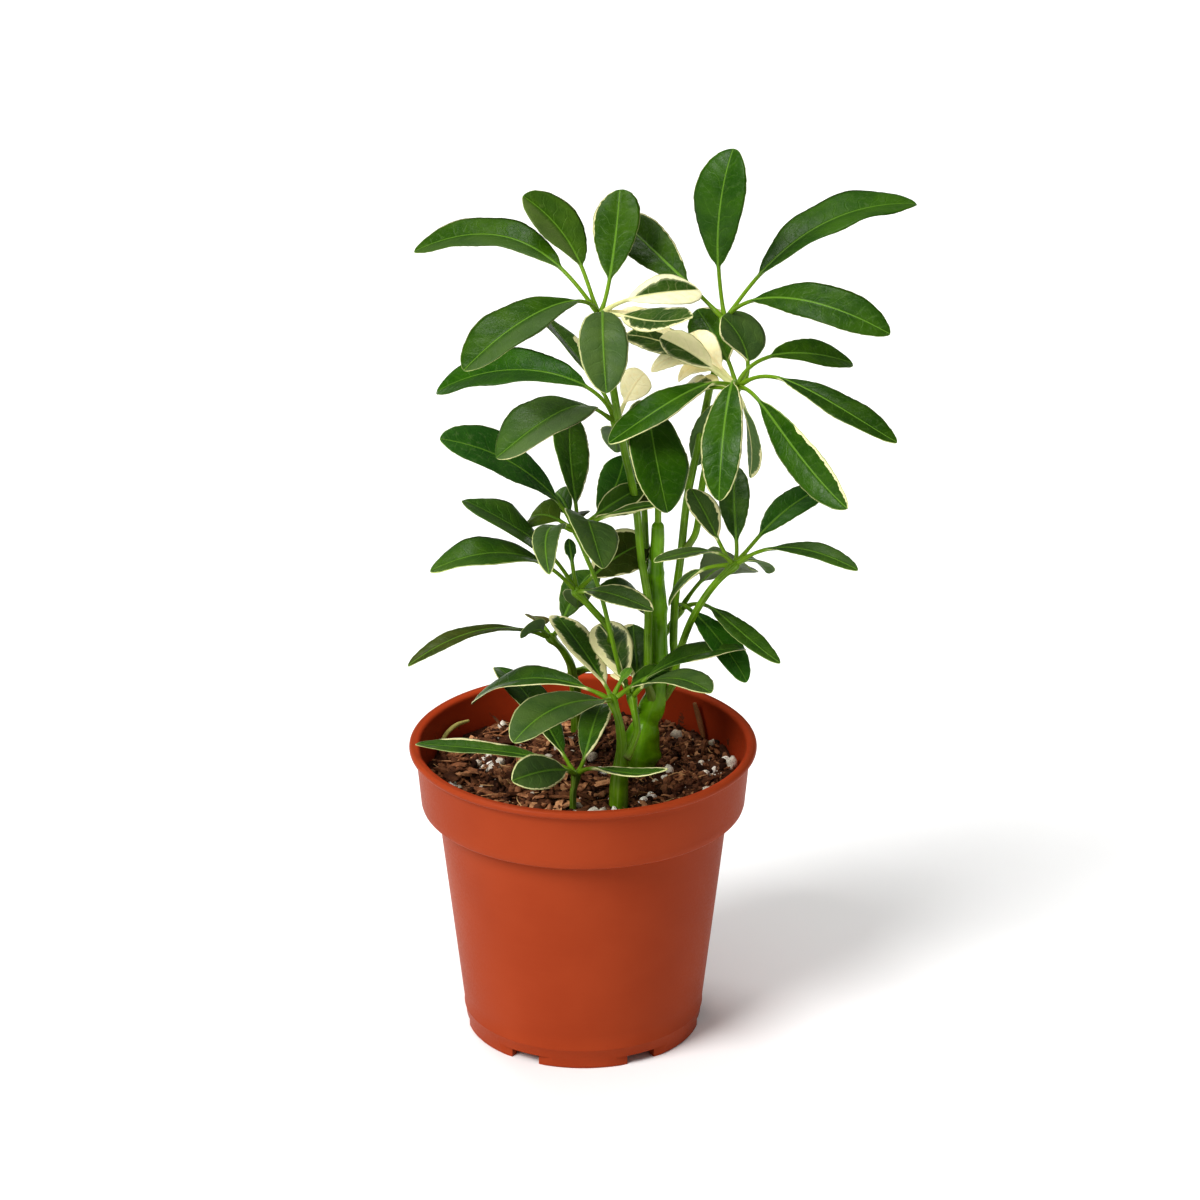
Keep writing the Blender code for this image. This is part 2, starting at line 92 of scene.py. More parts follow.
def fanFaces(ring, pole, flip=False):
    faces = [(ring[i], ring[(i + 1) % len(ring)], pole) for i in range(len(ring))]
    return [face[::-1] for face in faces] if flip else faces


def outwards(mesh):
    shape = bmesh.new()
    shape.from_mesh(mesh)
    bmesh.ops.recalc_face_normals(shape, faces=shape.faces)
    shape.to_mesh(mesh)
    shape.free()
    return mesh


def smoothStep(low, high, value):
    t = np.clip((value - low) / (high - low), 0, 1)
    return t * t * (3 - 2 * t)


def unit(v):
    return v / np.maximum(np.linalg.norm(v, axis=-1, keepdims=True), 1e-9)


def readRings(name):
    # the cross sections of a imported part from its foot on, and the point that closes its far end
    shape = bmesh.new()
    shape.from_mesh(nodes[name].data)
    bmesh.ops.remove_doubles(shape, verts=shape.verts, dist=0.00002)
    shape.verts.index_update()
    places = np.array([tuple(v.co) for v in shape.verts]) / metre
    around = [sorted(e.other_vert(v).index for e in v.link_edges) for v in shape.verts]
    shape.free()
    for pole in range(len(places)):
        rings, seen, edge = [], {pole}, [pole]
        while edge:
            edge = sorted({n for v in edge for n in around[v]} - seen)
            seen.update(edge)
            if edge:
                rings.append(edge)
        if len(rings) > 3 and len({len(ring) for ring in rings}) == 1:
            return [places[ring] for ring in rings[::-1]], places[pole]
    raise ValueError(name + " isn't a row of rings")


def mixTree():
    mesh = nodes["potting_mix"].data
    return BVHTree.FromPolygons([v.co / metre for v in mesh.vertices], [tuple(p.vertices) for p in mesh.polygons])


mixSurface = mixTree()
potLow, potHigh = (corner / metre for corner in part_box("nursery_pot"))
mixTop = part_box("potting_mix")[1].z / metre


def mixHeight(x, y):
    hit = mixSurface.ray_cast(Vector((x, y, mixTop + 20)), Vector((0, 0, -1)))[0]
    return hit.z if hit else mixTop - 1.5


# shader helpers

def addNode(tree, kind, feeds=None, **settings):
    node = tree.nodes.new(kind)
    for key, value in settings.items():
        setattr(node, key, value)
    for key, value in (feeds or {}).items():
        if isinstance(value, bpy.types.NodeSocket):
            tree.links.new(value, node.inputs[key])
        else:
            node.inputs[key].default_value = value
    return node


def calc(tree, operation, a, b=0.0, clamp=False):
    return addNode(tree, "ShaderNodeMath", {0: a, 1: b}, operation=operation, use_clamp=clamp).outputs[0]


def ramp(tree, value, low, high, start=0.0, end=1.0):
    feeds = {"Value": value, "From Min": low, "From Max": high, "To Min": start, "To Max": end}
    return addNode(tree, "ShaderNodeMapRange", feeds, interpolation_type="SMOOTHSTEP").outputs["Result"]


def blendValue(tree, factor, a, b):
    return addNode(tree, "ShaderNodeMix", {0: factor, 2: a, 3: b}).outputs[0]


def blendColour(tree, factor, a, b, mode="MIX"):
    return addNode(tree, "ShaderNodeMix", {0: factor, 6: a, 7: b}, data_type="RGBA", blend_type=mode).outputs[2]


def noiseAt(tree, place, scale, detail=2.0, rough=0.5):
    feeds = {"Vector": place, "Scale": scale, "Detail": detail, "Roughness": rough}
    return addNode(tree, "ShaderNodeTexNoise", feeds).outputs["Fac"]


def joined(tree, x, y, z):
    return addNode(tree, "ShaderNodeCombineXYZ", {0: x, 1: y, 2: z}).outputs[0]


def attribute(tree, name):
    return addNode(tree, "ShaderNodeAttribute", attribute_name=name).outputs["Fac"]


def newGroup(name, numbers, colours, outputs):
    tree = bpy.data.node_groups.new(name, "ShaderNodeTree")
    for label, value in numbers.items():
        tree.interface.new_socket(label, in_out="INPUT", socket_type="NodeSocketFloat").default_value = value
    for label, value in colours.items():
        socket = tree.interface.new_socket(label, in_out="INPUT", socket_type="NodeSocketColor")
        socket.default_value = (*value, 1)
    for label in outputs:
        kind = "NodeSocketColor" if label == "Colour" else "NodeSocketFloat"
        tree.interface.new_socket(label, in_out="OUTPUT", socket_type=kind)
    return tree, tree.nodes.new("NodeGroupInput").outputs, tree.nodes.new("NodeGroupOutput")


def newMaterial(name, group, settings, bumpDepth, bump=0.5, **surface):
    material = bpy.data.materials.new(name)
    material.use_nodes = True
    tree = material.node_tree
    shader = tree.nodes["Principled BSDF"]
    pattern = addNode(tree, "ShaderNodeGroup", node_tree=group)
    for label, value in settings.items():
        pattern.inputs[label].default_value = (*value, 1) if isinstance(value, tuple) else value
    tree.links.new(pattern.outputs["Colour"], shader.inputs["Base Color"])
    tree.links.new(pattern.outputs["Roughness"], shader.inputs["Roughness"])
    feeds = {"Height": pattern.outputs["Height"], "Distance": bumpDepth * metre, "Strength": bump}
    relief = addNode(tree, "ShaderNodeBump", feeds)
    tree.links.new(relief.outputs["Normal"], shader.inputs["Normal"])
    for label, value in surface.items():
        shader.inputs[label.replace("_", " ")].default_value = value
    # painted glow: the pattern's colour is also given off as light
    if "Emission_Strength" in surface:
        tree.links.new(pattern.outputs["Colour"], shader.inputs["Emission Color"])
    return material


# leaf surface: the green, its veins, the wax bloom with painted sheen on one half or both, and the cream that creeps in
# from the margin

def leafPattern():
    tree, given, result = newGroup("leafPattern", {
        "Left cream": 0.0, "Right cream": 0.0, "Ragged": 0.5, "Cream start": 0.0, "Cream end": 1.0,
        "Left bloom": 0.0, "Right bloom": 0.0, "Halo": 0.0, "Rim": 0.3, "Vein strength": 0.2, "Speckled sheen": 0.2,
        "Seed": 0.0, "Gloss": 0.34}, {
        "Green": (0.04, 0.14, 0.012), "Sheen and bloom": (0.095, 0.145, 0.055), "Cream": (0.80, 0.74, 0.42),
        "Rib": (0.15, 0.30, 0.03), "Underside": (0.12, 0.20, 0.07), "Stalk": (0.15, 0.27, 0.012)},
        ("Colour", "Roughness", "Height"))
    place = addNode(tree, "ShaderNodeUVMap", uv_map="surfaceMap").outputs[0]
    split = addNode(tree, "ShaderNodeSeparateXYZ", {0: place})
    along, across = split.outputs[0], split.outputs[1]
    half, share, under = (attribute(tree, name) for name in ("half", "share", "under"))
    away = calc(tree, "ABSOLUTE", across)
    right = ramp(tree, across, -0.15, 0.15)
    fromEdge = calc(tree, "SUBTRACT", half, away)
    relative = calc(tree, "DIVIDE", away, calc(tree, "MAXIMUM", half, 0.3))
    seeded = calc(tree, "ADD", given["Seed"], calc(tree, "MULTIPLY", right, 7.3))

    # cream margin, ragged along the side veins
    slant = calc(tree, "SUBTRACT", along, calc(tree, "MULTIPLY", away, 0.75))
    grain = joined(tree, calc(tree, "MULTIPLY", slant, 0.42), calc(tree, "MULTIPLY", away, 0.12), seeded)
    uneven = calc(tree, "SUBTRACT", noiseAt(tree, grain, 1.0, 3.5, 0.62), 0.5)
    width = blendValue(tree, right, given["Left cream"], given["Right cream"])
    reach = calc(tree, "ADD", width, calc(tree, "MULTIPLY", uneven, calc(tree, "MULTIPLY", given["Ragged"], 4.0)))
    opens = ramp(tree, share, calc(tree, "SUBTRACT", given["Cream start"], 0.05),
                 calc(tree, "ADD", given["Cream start"], 0.05))
    closes = ramp(tree, share, calc(tree, "ADD", given["Cream end"], 0.05),
                  calc(tree, "SUBTRACT", given["Cream end"], 0.05))
    some = ramp(tree, width, 0.0, 0.05)
    reach = calc(tree, "MULTIPLY", calc(tree, "MULTIPLY", reach, some), calc(tree, "MULTIPLY", opens, closes))
    past = calc(tree, "SUBTRACT", fromEdge, reach)
    cream = ramp(tree, past, 0.12, -0.12)
    halo = calc(tree, "MULTIPLY", ramp(tree, calc(tree, "SUBTRACT", past, given["Halo"]), 0.5, -0.5),
                ramp(tree, given["Halo"], 0.0, 0.3))
    rim = calc(tree, "MULTIPLY", ramp(tree, fromEdge, given["Rim"], calc(tree, "MULTIPLY", given["Rim"], 0.4)),
               ramp(tree, share, 0.0, 0.1))

    # veins: a rib, slanted side veins and a fine net between them
    ribWidth = calc(tree, "SUBTRACT", 0.62, calc(tree, "MULTIPLY", share, 0.42))
    rib = ramp(tree, away, ribWidth, calc(tree, "MULTIPLY", ribWidth, 0.35))
    wobble = calc(tree, "MULTIPLY", noiseAt(tree, place, 0.16, 1.0), 1.6)
    course = calc(tree, "ADD", calc(tree, "DIVIDE", slant, 4.3), calc(tree, "ADD", wobble, seeded))
    apart = calc(tree, "ABSOLUTE", calc(tree, "SUBTRACT", calc(tree, "FRACT", course), 0.5))
    fading = ramp(tree, relative, 1.0, 0.35)
    vein = calc(tree, "MULTIPLY", ramp(tree, apart, 0.10, 0.01), fading)
    cells = addNode(tree, "ShaderNodeTexVoronoi", {"Vector": place, "Scale": 0.75}, feature="DISTANCE_TO_EDGE")
    net = ramp(tree, cells.outputs["Distance"], 0.10, 0.0)

    # colour, from the blade outwards
    body = addNode(tree, "ShaderNodeTexCoord").outputs["Object"]
    patches = noiseAt(tree, body, 120.0, 3.0)
    mottle = noiseAt(tree, body, 700.0, 3.0, 0.6)
    dark = blendColour(tree, 1.0, given["Green"], (0.76, 0.80, 0.80, 1), "MULTIPLY")
    light = blendColour(tree, 1.0, given["Green"], (1.38, 1.16, 1.10, 1), "MULTIPLY")
    green = blendColour(tree, ramp(tree, patches, 0.35, 0.68), dark, light)
    green = blendColour(tree, calc(tree, "MULTIPLY", ramp(tree, mottle, 0.45, 0.75), 0.30), green, light)
    paler = blendColour(tree, 0.5, given["Green"], given["Rib"])
    strength = given["Vein strength"]
    green = blendColour(tree, calc(tree, "MULTIPLY", vein, strength), green, paler)
    green = blendColour(tree, calc(tree, "MULTIPLY", net, calc(tree, "MULTIPLY", strength, 0.35)), green, paler)
    # painted sheen: one or both halves of the blade are paled in clouds towards the grey-green sheen colour, standing
    # in for glossy reflection as well as wax bloom
    sheenAndBloom = blendValue(tree, right, given["Left bloom"], given["Right bloom"])
    cloudy = ramp(tree, noiseAt(tree, body, 90.0, 4.0, 0.6), 0.25, 0.62, 0.55, 1.0)
    sheenAndBloom = calc(tree, "MULTIPLY", calc(tree, "MULTIPLY", sheenAndBloom, cloudy), ramp(tree, relative, 0.0, 0.3))
    # painted speckled sheen: pale specks in the sheen colour where the fine mottle peaks
    sheenSpecks = calc(tree, "MULTIPLY", ramp(tree, mottle, 0.56, 0.66), given["Speckled sheen"])
    green = blendColour(tree, calc(tree, "MAXIMUM", sheenAndBloom, sheenSpecks), green, given["Sheen and bloom"])
    green = blendColour(tree, calc(tree, "MULTIPLY", halo, 0.75), green, blendColour(
        tree, 0.35, given["Sheen and bloom"], given["Cream"]))
    green = blendColour(tree, calc(tree, "MULTIPLY", under, 0.8), green, given["Underside"])
    creamy = blendColour(tree, ramp(tree, mottle, 0.4, 0.8, 0.0, 0.35), given["Cream"], (0.62, 0.66, 0.25, 1))
    colour = blendColour(tree, cream, green, creamy)
    colour = blendColour(tree, calc(tree, "MULTIPLY", rim, 0.75), colour, (0.50, 0.58, 0.22, 1))
    colour = blendColour(tree, calc(tree, "MULTIPLY", rib, 0.8), colour, given["Rib"])
    colour = blendColour(tree, ramp(tree, share, 0.07, -0.02), colour, given["Stalk"])
    tree.links.new(colour, result.inputs["Colour"])

    shine = calc(tree, "ADD", given["Gloss"], ramp(tree, mottle, 0.3, 0.7, -0.05, 0.07))
    shine = calc(tree, "ADD", shine, calc(tree, "MULTIPLY", under, 0.22))
    tree.links.new(calc(tree, "ADD", shine, calc(tree, "MULTIPLY", sheenAndBloom, 0.12)), result.inputs["Roughness"])
    height = calc(tree, "SUBTRACT", calc(tree, "MULTIPLY", rib, 0.6), calc(tree, "MULTIPLY", vein, 0.5))
    height = calc(tree, "SUBTRACT", height, calc(tree, "MULTIPLY", net, 0.2))
    tree.links.new(calc(tree, "ADD", height, calc(tree, "MULTIPLY", mottle, 0.5)), result.inputs["Height"])
    return tree


leafGroup = leafPattern()

# what each kind of leaf starts from; a leaf's own entry changes what differs
leafKinds = {
    "fresh": {"Green": (0.030, 0.088, 0.002), "Gloss": 0.36},
    "bright": {"Green": (0.027, 0.090, 0.002), "Gloss": 0.36, "Rim": 0.45},
    "deep": {"Green": (0.042, 0.108, 0.010), "Gloss": 0.34, "Speckled sheen": 0.15},
    # this kind: painted sheen on both halves of the blade, together with wax bloom
    "waxy and sheened": {"Green": (0.050, 0.106, 0.018), "Left bloom": 0.35, "Right bloom": 0.35, "Gloss": 0.40, "Rim": 0.5},
    "olive": {"Green": (0.045, 0.068, 0.007), "Gloss": 0.42, "Speckled sheen": 0.1},
    "creamy": {"Green": (0.032, 0.078, 0.009), "Left cream": 3.2, "Right cream": 3.2, "Ragged": 0.9, "Halo": 0.5,
               "Rib": (0.72, 0.70, 0.34), "Stalk": (0.62, 0.62, 0.28), "Gloss": 0.42},
    "blanched": {"Green": (0.93, 0.83, 0.52), "Left cream": 9.0, "Right cream": 9.0, "Ragged": 0.3,
                 "Cream": (0.93, 0.83, 0.52), "Rib": (0.86, 0.74, 0.42), "Stalk": (0.60, 0.58, 0.27),
                 "Underside": (0.78, 0.70, 0.44), "Gloss": 0.5, "Vein strength": 0.1},
}


leafPaintedGlow = {"blanched": 0.17, "creamy": 0.06}        # painted glow: the pale blades give off their own colour as light, standing in for light that comes through them


def leafMaterial(name, kind, seed, changes):
    settings = {"Seed": seed, **leafKinds[kind], **changes}
    paintedGlow = {kind: {"Emission_Strength": share} for kind, share in leafPaintedGlow.items()}.get(kind, {})
    return newMaterial(name, leafGroup, settings, 0.28, 0.55, **paintedGlow, Specular_IOR_Level=0.15, Coat_Weight=0.05,
                       Coat_Roughness=0.22)


# leaf shape

leafShape = {
    "stalkRadius": 0.62, "stalkStations": 7, "bladeStations": 54, "halfColumns": 10, "crowding": 1.5,
    "shoulder": 1.0, "point": 0.62,        # how a blade widens from its stalk and narrows to its tip
    "thickness": 0.50, "rim": 0.16, "keel": 0.55, "keelWidth": 0.8,
    "fold": 0.27, "cup": 0.10, "wave": 0.045, "waveLength": 21.0, "tooth": 0.26, "toothLength": 4.6,
    "quilt": 0.07, "veinGap": 4.3, "ribRise": 0.13,
}


def bladeShare(share, shape=leafShape):
    # half width of a blade along its length, 0 to 1
    s = np.clip(share, 0, 1)
    a, b = shape["shoulder"], shape["point"]
    widest = a / (a + b)
    return s ** a * (1 - s) ** b / (widest ** a * (1 - widest) ** b)


def readBlade(name):
    # a packed leaflet's rib, the normal and half width at each of its sections, and its tip
    rings, tip = readRings(name)
    ribs, normals, halves = [], [], []
    for ring in rings:
        centre = ring.mean(0)
        wide = np.linalg.svd(ring - centre)[2][0]
        order = np.argsort(np.abs((ring - centre) @ wide))
        rib = ring[order[:2]].mean(0)
        edges = ring[order[2:]]
        side = (edges - rib) @ wide
        a, b = edges[side > 0].mean(0), edges[side < 0].mean(0)
        ribs.append(rib)
        halves.append((np.linalg.norm(a - rib) + np.linalg.norm(b - rib)) / 2)
        normals.append((a + b) / 2 - rib)
    ribs, halves, normals = np.array(ribs), np.array(halves), np.array(normals)
    wide = np.flatnonzero(halves > 2.0)
    near = [wide[np.abs(wide - k).argmin()] for k in range(len(halves))]
    return ribs, unit(normals)[near], halves, tip


def drawnBlade(hub, seat, lift, heading, rise, reach, arch, bow, width, roll, stalk):
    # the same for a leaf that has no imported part, from the angles and lengths that place it at its hub
    def towards(h, r):
        h, r = math.radians(h), math.radians(r)
        return Vector((math.cos(h) * math.cos(r), math.sin(h) * math.cos(r), math.sin(r)))

    outward = towards(seat, lift)
    start, tip = hub + outward * 2.2, hub + towards(heading, rise) * reach
    chord = tip - start
    ahead = chord.normalized()
    up = (Vector((0, 0, 1)) - ahead * ahead.z).normalized()
    bend = start + chord * 0.6 + (up * arch + ahead.cross(up) * bow) * 1.6
    handles = [np.array(p) for p in (start, start + outward * chord.length * 0.22, bend, tip)]
    t = np.linspace(0, 0.92, 9)[:, None]
    path = sum(h * c * t ** k * (1 - t) ** (3 - k) for k, (h, c) in enumerate(zip(handles, (1, 3, 3, 1))))
    slope = unit(np.gradient(path, axis=0))
    normal = np.array([Matrix.Rotation(math.radians(roll), 3, Vector(s)) @ Vector(
        unit(np.array(up) - s * (s @ np.array(up)))) for s in slope])
    steps = np.linalg.norm(np.diff(np.vstack([path, np.array(tip)[None]]), axis=0), axis=1)
    length = np.concatenate([[0], np.cumsum(steps)])
    share = (length[:-1] - stalk) / (length[-1] - stalk)
    halves = np.maximum(leafShape["stalkRadius"], width / 2 * bladeShare(share))
    return path, normal, halves, np.array(tip)


def outline(length, halves):
    # the stalk length and the half width at the widest place that give these half widths
    best, total = None, length[-1]
    wide = halves > leafShape["stalkRadius"] * 1.1
    for stalk in np.linspace(0, total * 0.45, 136):
        share = bladeShare((length[:-1] - stalk) / (total - stalk))[wide]
        half = (share * halves[wide]).sum() / max((share ** 2).sum(), 1e-9)
        error = ((halves[wide] - half * share) ** 2).sum()
        if best is None or error < best[0]:
            best = (error, stalk, half)
    return best[1:]


def growLeaf(name, hub, blade, look, seed, replaced=()):
    ribs, normals, halves, tip = blade
    shape = {**leafShape, **look.get("shape", {})}
    chance = random.Random(seed)
    points = np.vstack([ribs, tip])
    length = np.concatenate([[0], np.cumsum(np.linalg.norm(np.diff(points, axis=0), axis=1))])
    total = length[-1]
    stalk, half = outline(length, halves)
    curve = np.polyfit(length / total, points, 5)
    stalk = min(stalk, total * 0.42)

    # stations: into the hub, along the stalk, along the blade
    blades = 1 - (1 - np.linspace(0, 1, shape["bladeStations"] + 1)) ** 1.25
    stations = np.concatenate([np.linspace(0, stalk, shape["stalkStations"])[:-1], stalk + blades * (total - stalk)])
    stations = stations[:-1]
    rib = np.stack([np.polyval(curve[:, k], stations / total) for k in range(3)], 1)
    ahead = unit(np.gradient(np.vstack([rib, tip]), axis=0)[:-1])
    normal = np.stack([np.interp(stations, length[:-1], normals[:, k]) for k in range(3)], 1)
    normal = unit(normal - ahead * (normal * ahead).sum(1, keepdims=True))
    across = np.cross(ahead, normal)
    share = (stations - stalk) / (total - stalk)
    width = half * bladeShare(share, shape)
    inside = np.array(hub) - rib[0]
    rib = np.vstack([rib[0] + inside * 0.8, rib])
    ahead, normal, across = (np.vstack([a[:1], a]) for a in (ahead, normal, across))
    stations = np.concatenate([[-np.linalg.norm(inside) * 0.8], stations])
    share = np.concatenate([[share[0]], share])
    width = np.concatenate([[0.0], width])

    # columns: close together at the rib
    steps = (np.arange(shape["halfColumns"] + 1) / shape["halfColumns"]) ** shape["crowding"]
    v = np.concatenate([-steps[::-1], steps[1:]])
    a = np.abs(v)[None]
    side = np.where(v < 0, 0, 1)

    def wavy(count):
        return np.array([chance.uniform(0, 2 * math.pi) for _ in range(count)])

    phases = wavy(2)[side][None]
    l = stations[:, None]
    teeth = ((l / shape["toothLength"] + phases + 0.35 * np.sin(l / 3.1 + phases)) % 1.0)
    trim = shape["tooth"] * np.minimum(1, width[:, None] / 3) * np.minimum(teeth, 4 * (1 - teeth)) * a ** 6
    flat = np.maximum(width[:, None] - trim, 0.02)
    crease = np.sqrt(a ** 2 + 0.012) - math.sqrt(0.012)
    lift = flat * (shape["fold"] * crease - shape["cup"] * a ** 2.2)
    lift = lift + flat * shape["wave"] * a ** 2 * np.sin(2 * math.pi * l / shape["waveLength"] + phases)
    slant = (l - a * flat * 0.75) / shape["veinGap"]
    lift = lift + shape["quilt"] * np.sin(2 * math.pi * slant + phases) * np.sin(math.pi * a) * np.minimum(1, flat / 4)
    lift = lift + shape["ribRise"] * np.exp(-(a * flat / 0.32) ** 2) - 0.16 * np.exp(-(a * flat / 1.1) ** 2)
    thick = (shape["rim"] + (shape["thickness"] - shape["rim"]) * (1 - a ** 2)) * np.minimum(1, flat / 1.2 + 0.15)
    keel = shape["keel"] * np.exp(-(a * flat / shape["keelWidth"]) ** 2) * (1 - smoothStep(0.3, 1.0, share)[:, None])

    # the stalk is round and flows into the blade
    radius = shape["stalkRadius"] * (1 + 0.35 * np.exp(-((l - 0.0) / 2.2) ** 2))
    blending = smoothStep(0.0, 1.0, (width[:, None] - 0.35) / 2.2)
    blending = np.where(share[:, None] > 0.4, 1.0, blending)
    turn = np.sin(v[None] * math.pi / 2)
    roundTop = radius * np.sqrt(np.maximum(0, 1 - turn ** 2))
    x = (1 - blending) * radius * turn + blending * v[None] * flat
    top = (1 - blending) * roundTop * 0.9 + blending * (lift + thick / 2)
    low = -(1 - blending) * roundTop + blending * (lift - thick / 2 - keel)
    low[:, [0, -1]] = top[:, [0, -1]] = (top[:, [0, -1]] + low[:, [0, -1]]) / 2

    def place(offset, height):
        return rib[:, None] + across[:, None] * offset[..., None] + normal[:, None] * height[..., None]

    upper, lower = place(x, top), place(x, low)[:, -2:0:-1]
    rows = len(stations)
    ring = upper.shape[1] + lower.shape[1]
    places = np.concatenate([upper, lower], 1).reshape(-1, 3)
    places = np.vstack([places, np.array(hub)[None] - unit(inside) * -0.1, tip[None]])
    faces = ringFaces(rows, ring)
    faces += fanFaces(list(range(ring)), rows * ring, flip=True)
    faces += fanFaces(list(range((rows - 1) * ring, rows * ring)), rows * ring + 1)

    def perPoint(values, start, end):
        both = np.concatenate([values, values[:, -2:0:-1]], 1).ravel()
        return np.concatenate([both, [start, end]])

    grid = np.ones_like(x)
    wide = perPoint(np.maximum(flat, 0.05) * grid, 0.05, 0.05)
    along = perPoint((l - stalk) * grid, -stalk, total - stalk)
    offset = perPoint(v[None] * flat, 0, 0)
    shares = perPoint(share[:, None] * grid, share[0], 1)
    under = np.concatenate([np.concatenate([0 * upper[..., 0], 1 + 0 * lower[..., 0]], 1).ravel(), [0, 0.5]])
    mesh = newMesh(name, places, faces, {"half": wide, "share": shares, "under": under},
                   np.stack([along, offset], 1))
    outwards(mesh)
    changes = {key: value for key, value in look.items() if key not in ("kind", "shape")}
    material = leafMaterial(name, look["kind"], (seed % 97) * 1.37, changes)
    return newPiece(name, mesh, material, replaced)


# what each leaflet of a whorl looks like, in the order of their numbers
# the sheen-and-bloom entries paint sheen on one half of a blade or both
leafLooks = {
    "crown": [
        {"kind": "fresh", "Left bloom": 0.30, "Right cream": 0.5, "Ragged": 0.25, "Cream start": 0.7},
        {"kind": "fresh", "Left bloom": 0.45, "Right bloom": 0.1, "Right cream": 0.25, "Ragged": 0.3,
         "Cream start": 0.5, "Green": (0.036, 0.100, 0.003), "Sheen and bloom": (0.16, 0.20, 0.07)},
        {"kind": "fresh", "Left cream": 0.6, "Ragged": 0.35, "Cream start": 0.45, "Rim": 0.35},
        {"kind": "fresh", "Left bloom": 0.5, "Rim": 0.45},
        {"kind": "waxy and sheened", "Left cream": 0.35, "Right cream": 0.45, "Ragged": 0.15},
        {"kind": "creamy", "Left cream": 2.1, "Right cream": 9.0, "Ragged": 0.5, "Cream": (0.86, 0.81, 0.52)},
    ],
    "left": [
        {"kind": "fresh", "Left bloom": 0.15, "Green": (0.020, 0.086, 0.001)},
        {"kind": "fresh", "Left bloom": 0.6, "Right bloom": 0.2, "Left cream": 0.4, "Ragged": 0.15,
         "Green": (0.042, 0.112, 0.006), "Sheen and bloom": (0.13, 0.18, 0.08)},
        {"kind": "deep", "Right cream": 3.4, "Ragged": 1.0, "Cream start": 0.1, "Cream end": 0.7, "Left bloom": 0.5,
         "Sheen and bloom": (0.06, 0.07, 0.05)},
    ],
    "inner": [
        {"kind": "bright", "Left cream": 0.3, "Right cream": 0.4, "Ragged": 0.15},
    ],
    "upper_right": [
        {"kind": "deep", "Green": (0.030, 0.080, 0.004), "Right cream": 0.45, "Ragged": 0.3, "Cream start": 0.2},
        {"kind": "fresh", "Green": (0.024, 0.084, 0.003), "Speckled sheen": 0.2},
        {"kind": "fresh", "Green": (0.030, 0.095, 0.004), "Speckled sheen": 0.25},
        {"kind": "fresh", "Green": (0.025, 0.078, 0.003)},
    ],
    "right": [
        {"kind": "bright", "Left cream": 0.55, "Ragged": 0.15},
        {"kind": "bright", "Left cream": 0.5, "Right cream": 0.5, "Ragged": 0.25},
        {"kind": "bright", "Left cream": 1.0, "Ragged": 0.5, "Cream start": 0.4, "Green": (0.024, 0.082, 0.002)},
        {"kind": "fresh", "Right cream": 0.2, "Ragged": 0.2, "Rim": 0.45, "Green": (0.019, 0.061, 0.001)},
        {"kind": "waxy and sheened", "Left cream": 1.1, "Ragged": 0.6},
        {"kind": "fresh"},
    ],
    "mid_right": [
        {"kind": "waxy and sheened", "Left cream": 0.7, "Right cream": 1.5, "Ragged": 0.6},
        {"kind": "deep", "Rim": 0.35},
        {"kind": "deep", "Green": (0.030, 0.110, 0.010)},
        {"kind": "deep", "Left bloom": 0.3},
    ],
    "low_right": [
        {"kind": "deep", "Underside": (0.15, 0.19, 0.10)},
        {"kind": "deep"},
    ],
    "mid_left": [
        {"kind": "deep", "Speckled sheen": 0.4, "Green": (0.026, 0.095, 0.012)},
        {"kind": "deep", "Speckled sheen": 0.35, "Right cream": 0.5, "Ragged": 0.25},
        {"kind": "deep", "Green": (0.028, 0.100, 0.010)},
        {"kind": "waxy and sheened", "Left cream": 0.3, "Right cream": 0.3, "Ragged": 0.1, "shape": {"shoulder": 0.6}},
        {"kind": "waxy and sheened", "Left cream": 0.35, "Right cream": 0.35, "Ragged": 0.1, "shape": {"shoulder": 0.6}},
    ],
    "low_left": [
        {"kind": "deep", "Speckled sheen": 0.25, "Left bloom": 0.2},
        {"kind": "deep", "Left cream": 0.6, "Ragged": 0.2, "Cream": (0.50, 0.58, 0.20), "Speckled sheen": 0.25},
        {"kind": "waxy and sheened", "Left cream": 0.9, "Right cream": 0.4, "Ragged": 0.4},
    ],
    "rear_low": [
        {"kind": "olive"},
    ],
    "front_left": [
        {"kind": "deep", "Left cream": 0.7, "Right cream": 0.4, "Ragged": 0.15},
        {"kind": "waxy and sheened", "Left cream": 0.35, "Right cream": 0.4, "Ragged": 0.15},
        {"kind": "deep", "Left cream": 1.9, "Right cream": 2.2, "Ragged": 1.3, "Halo": 0.3},
    ],
    "front_right": [
        {"kind": "deep", "Right cream": 0.7, "Ragged": 0.3, "Cream start": 0.45, "Speckled sheen": 0.25},
        {"kind": "waxy and sheened", "Left cream": 0.3, "Right cream": 0.5, "Ragged": 0.15},
    ],
    "soil_level": [
        {"kind": "deep", "Right cream": 1.5, "Ragged": 0.4, "Cream start": 0.35, "Cream end": 0.85, "Rim": 0.5},
        {"kind": "waxy and sheened", "Left cream": 0.6, "Right cream": 0.7, "Ragged": 0.35},
        {"kind": "deep", "Left cream": 0.4, "Ragged": 0.15},
    ],
}


def hubOf(whorl):
    # the middle of the knob that a whorl spreads from
    stems = {"front_left": "front_stem", "rear_low": "rear_stem", "soil_level": "soil_level_stem"}
    rings, pole = readRings(stems.get(whorl, whorl + "_petiole"))
    knob = rings[-1].mean(0)
    ahead = unit(pole - knob)
    return pole - ahead * 2.6


hubs = {whorl: hubOf(whorl) for whorl in leafLooks}
for whorlNumber, (whorl, looks) in enumerate(leafLooks.items()):
    for number, look in enumerate(looks, 1):
        part = f"{whorl}_leaflet_{number}"
        growLeaf(part.replace("_leaflet_", "_leaf_"), hubs[whorl], readBlade(part), look,
                 100 * whorlNumber + number * 7 + 3, (part,))
print("leaflets grown:", sum(len(looks) for looks in leafLooks.values()))


# stem surface: fresh green with pale flecks, browner where it is old

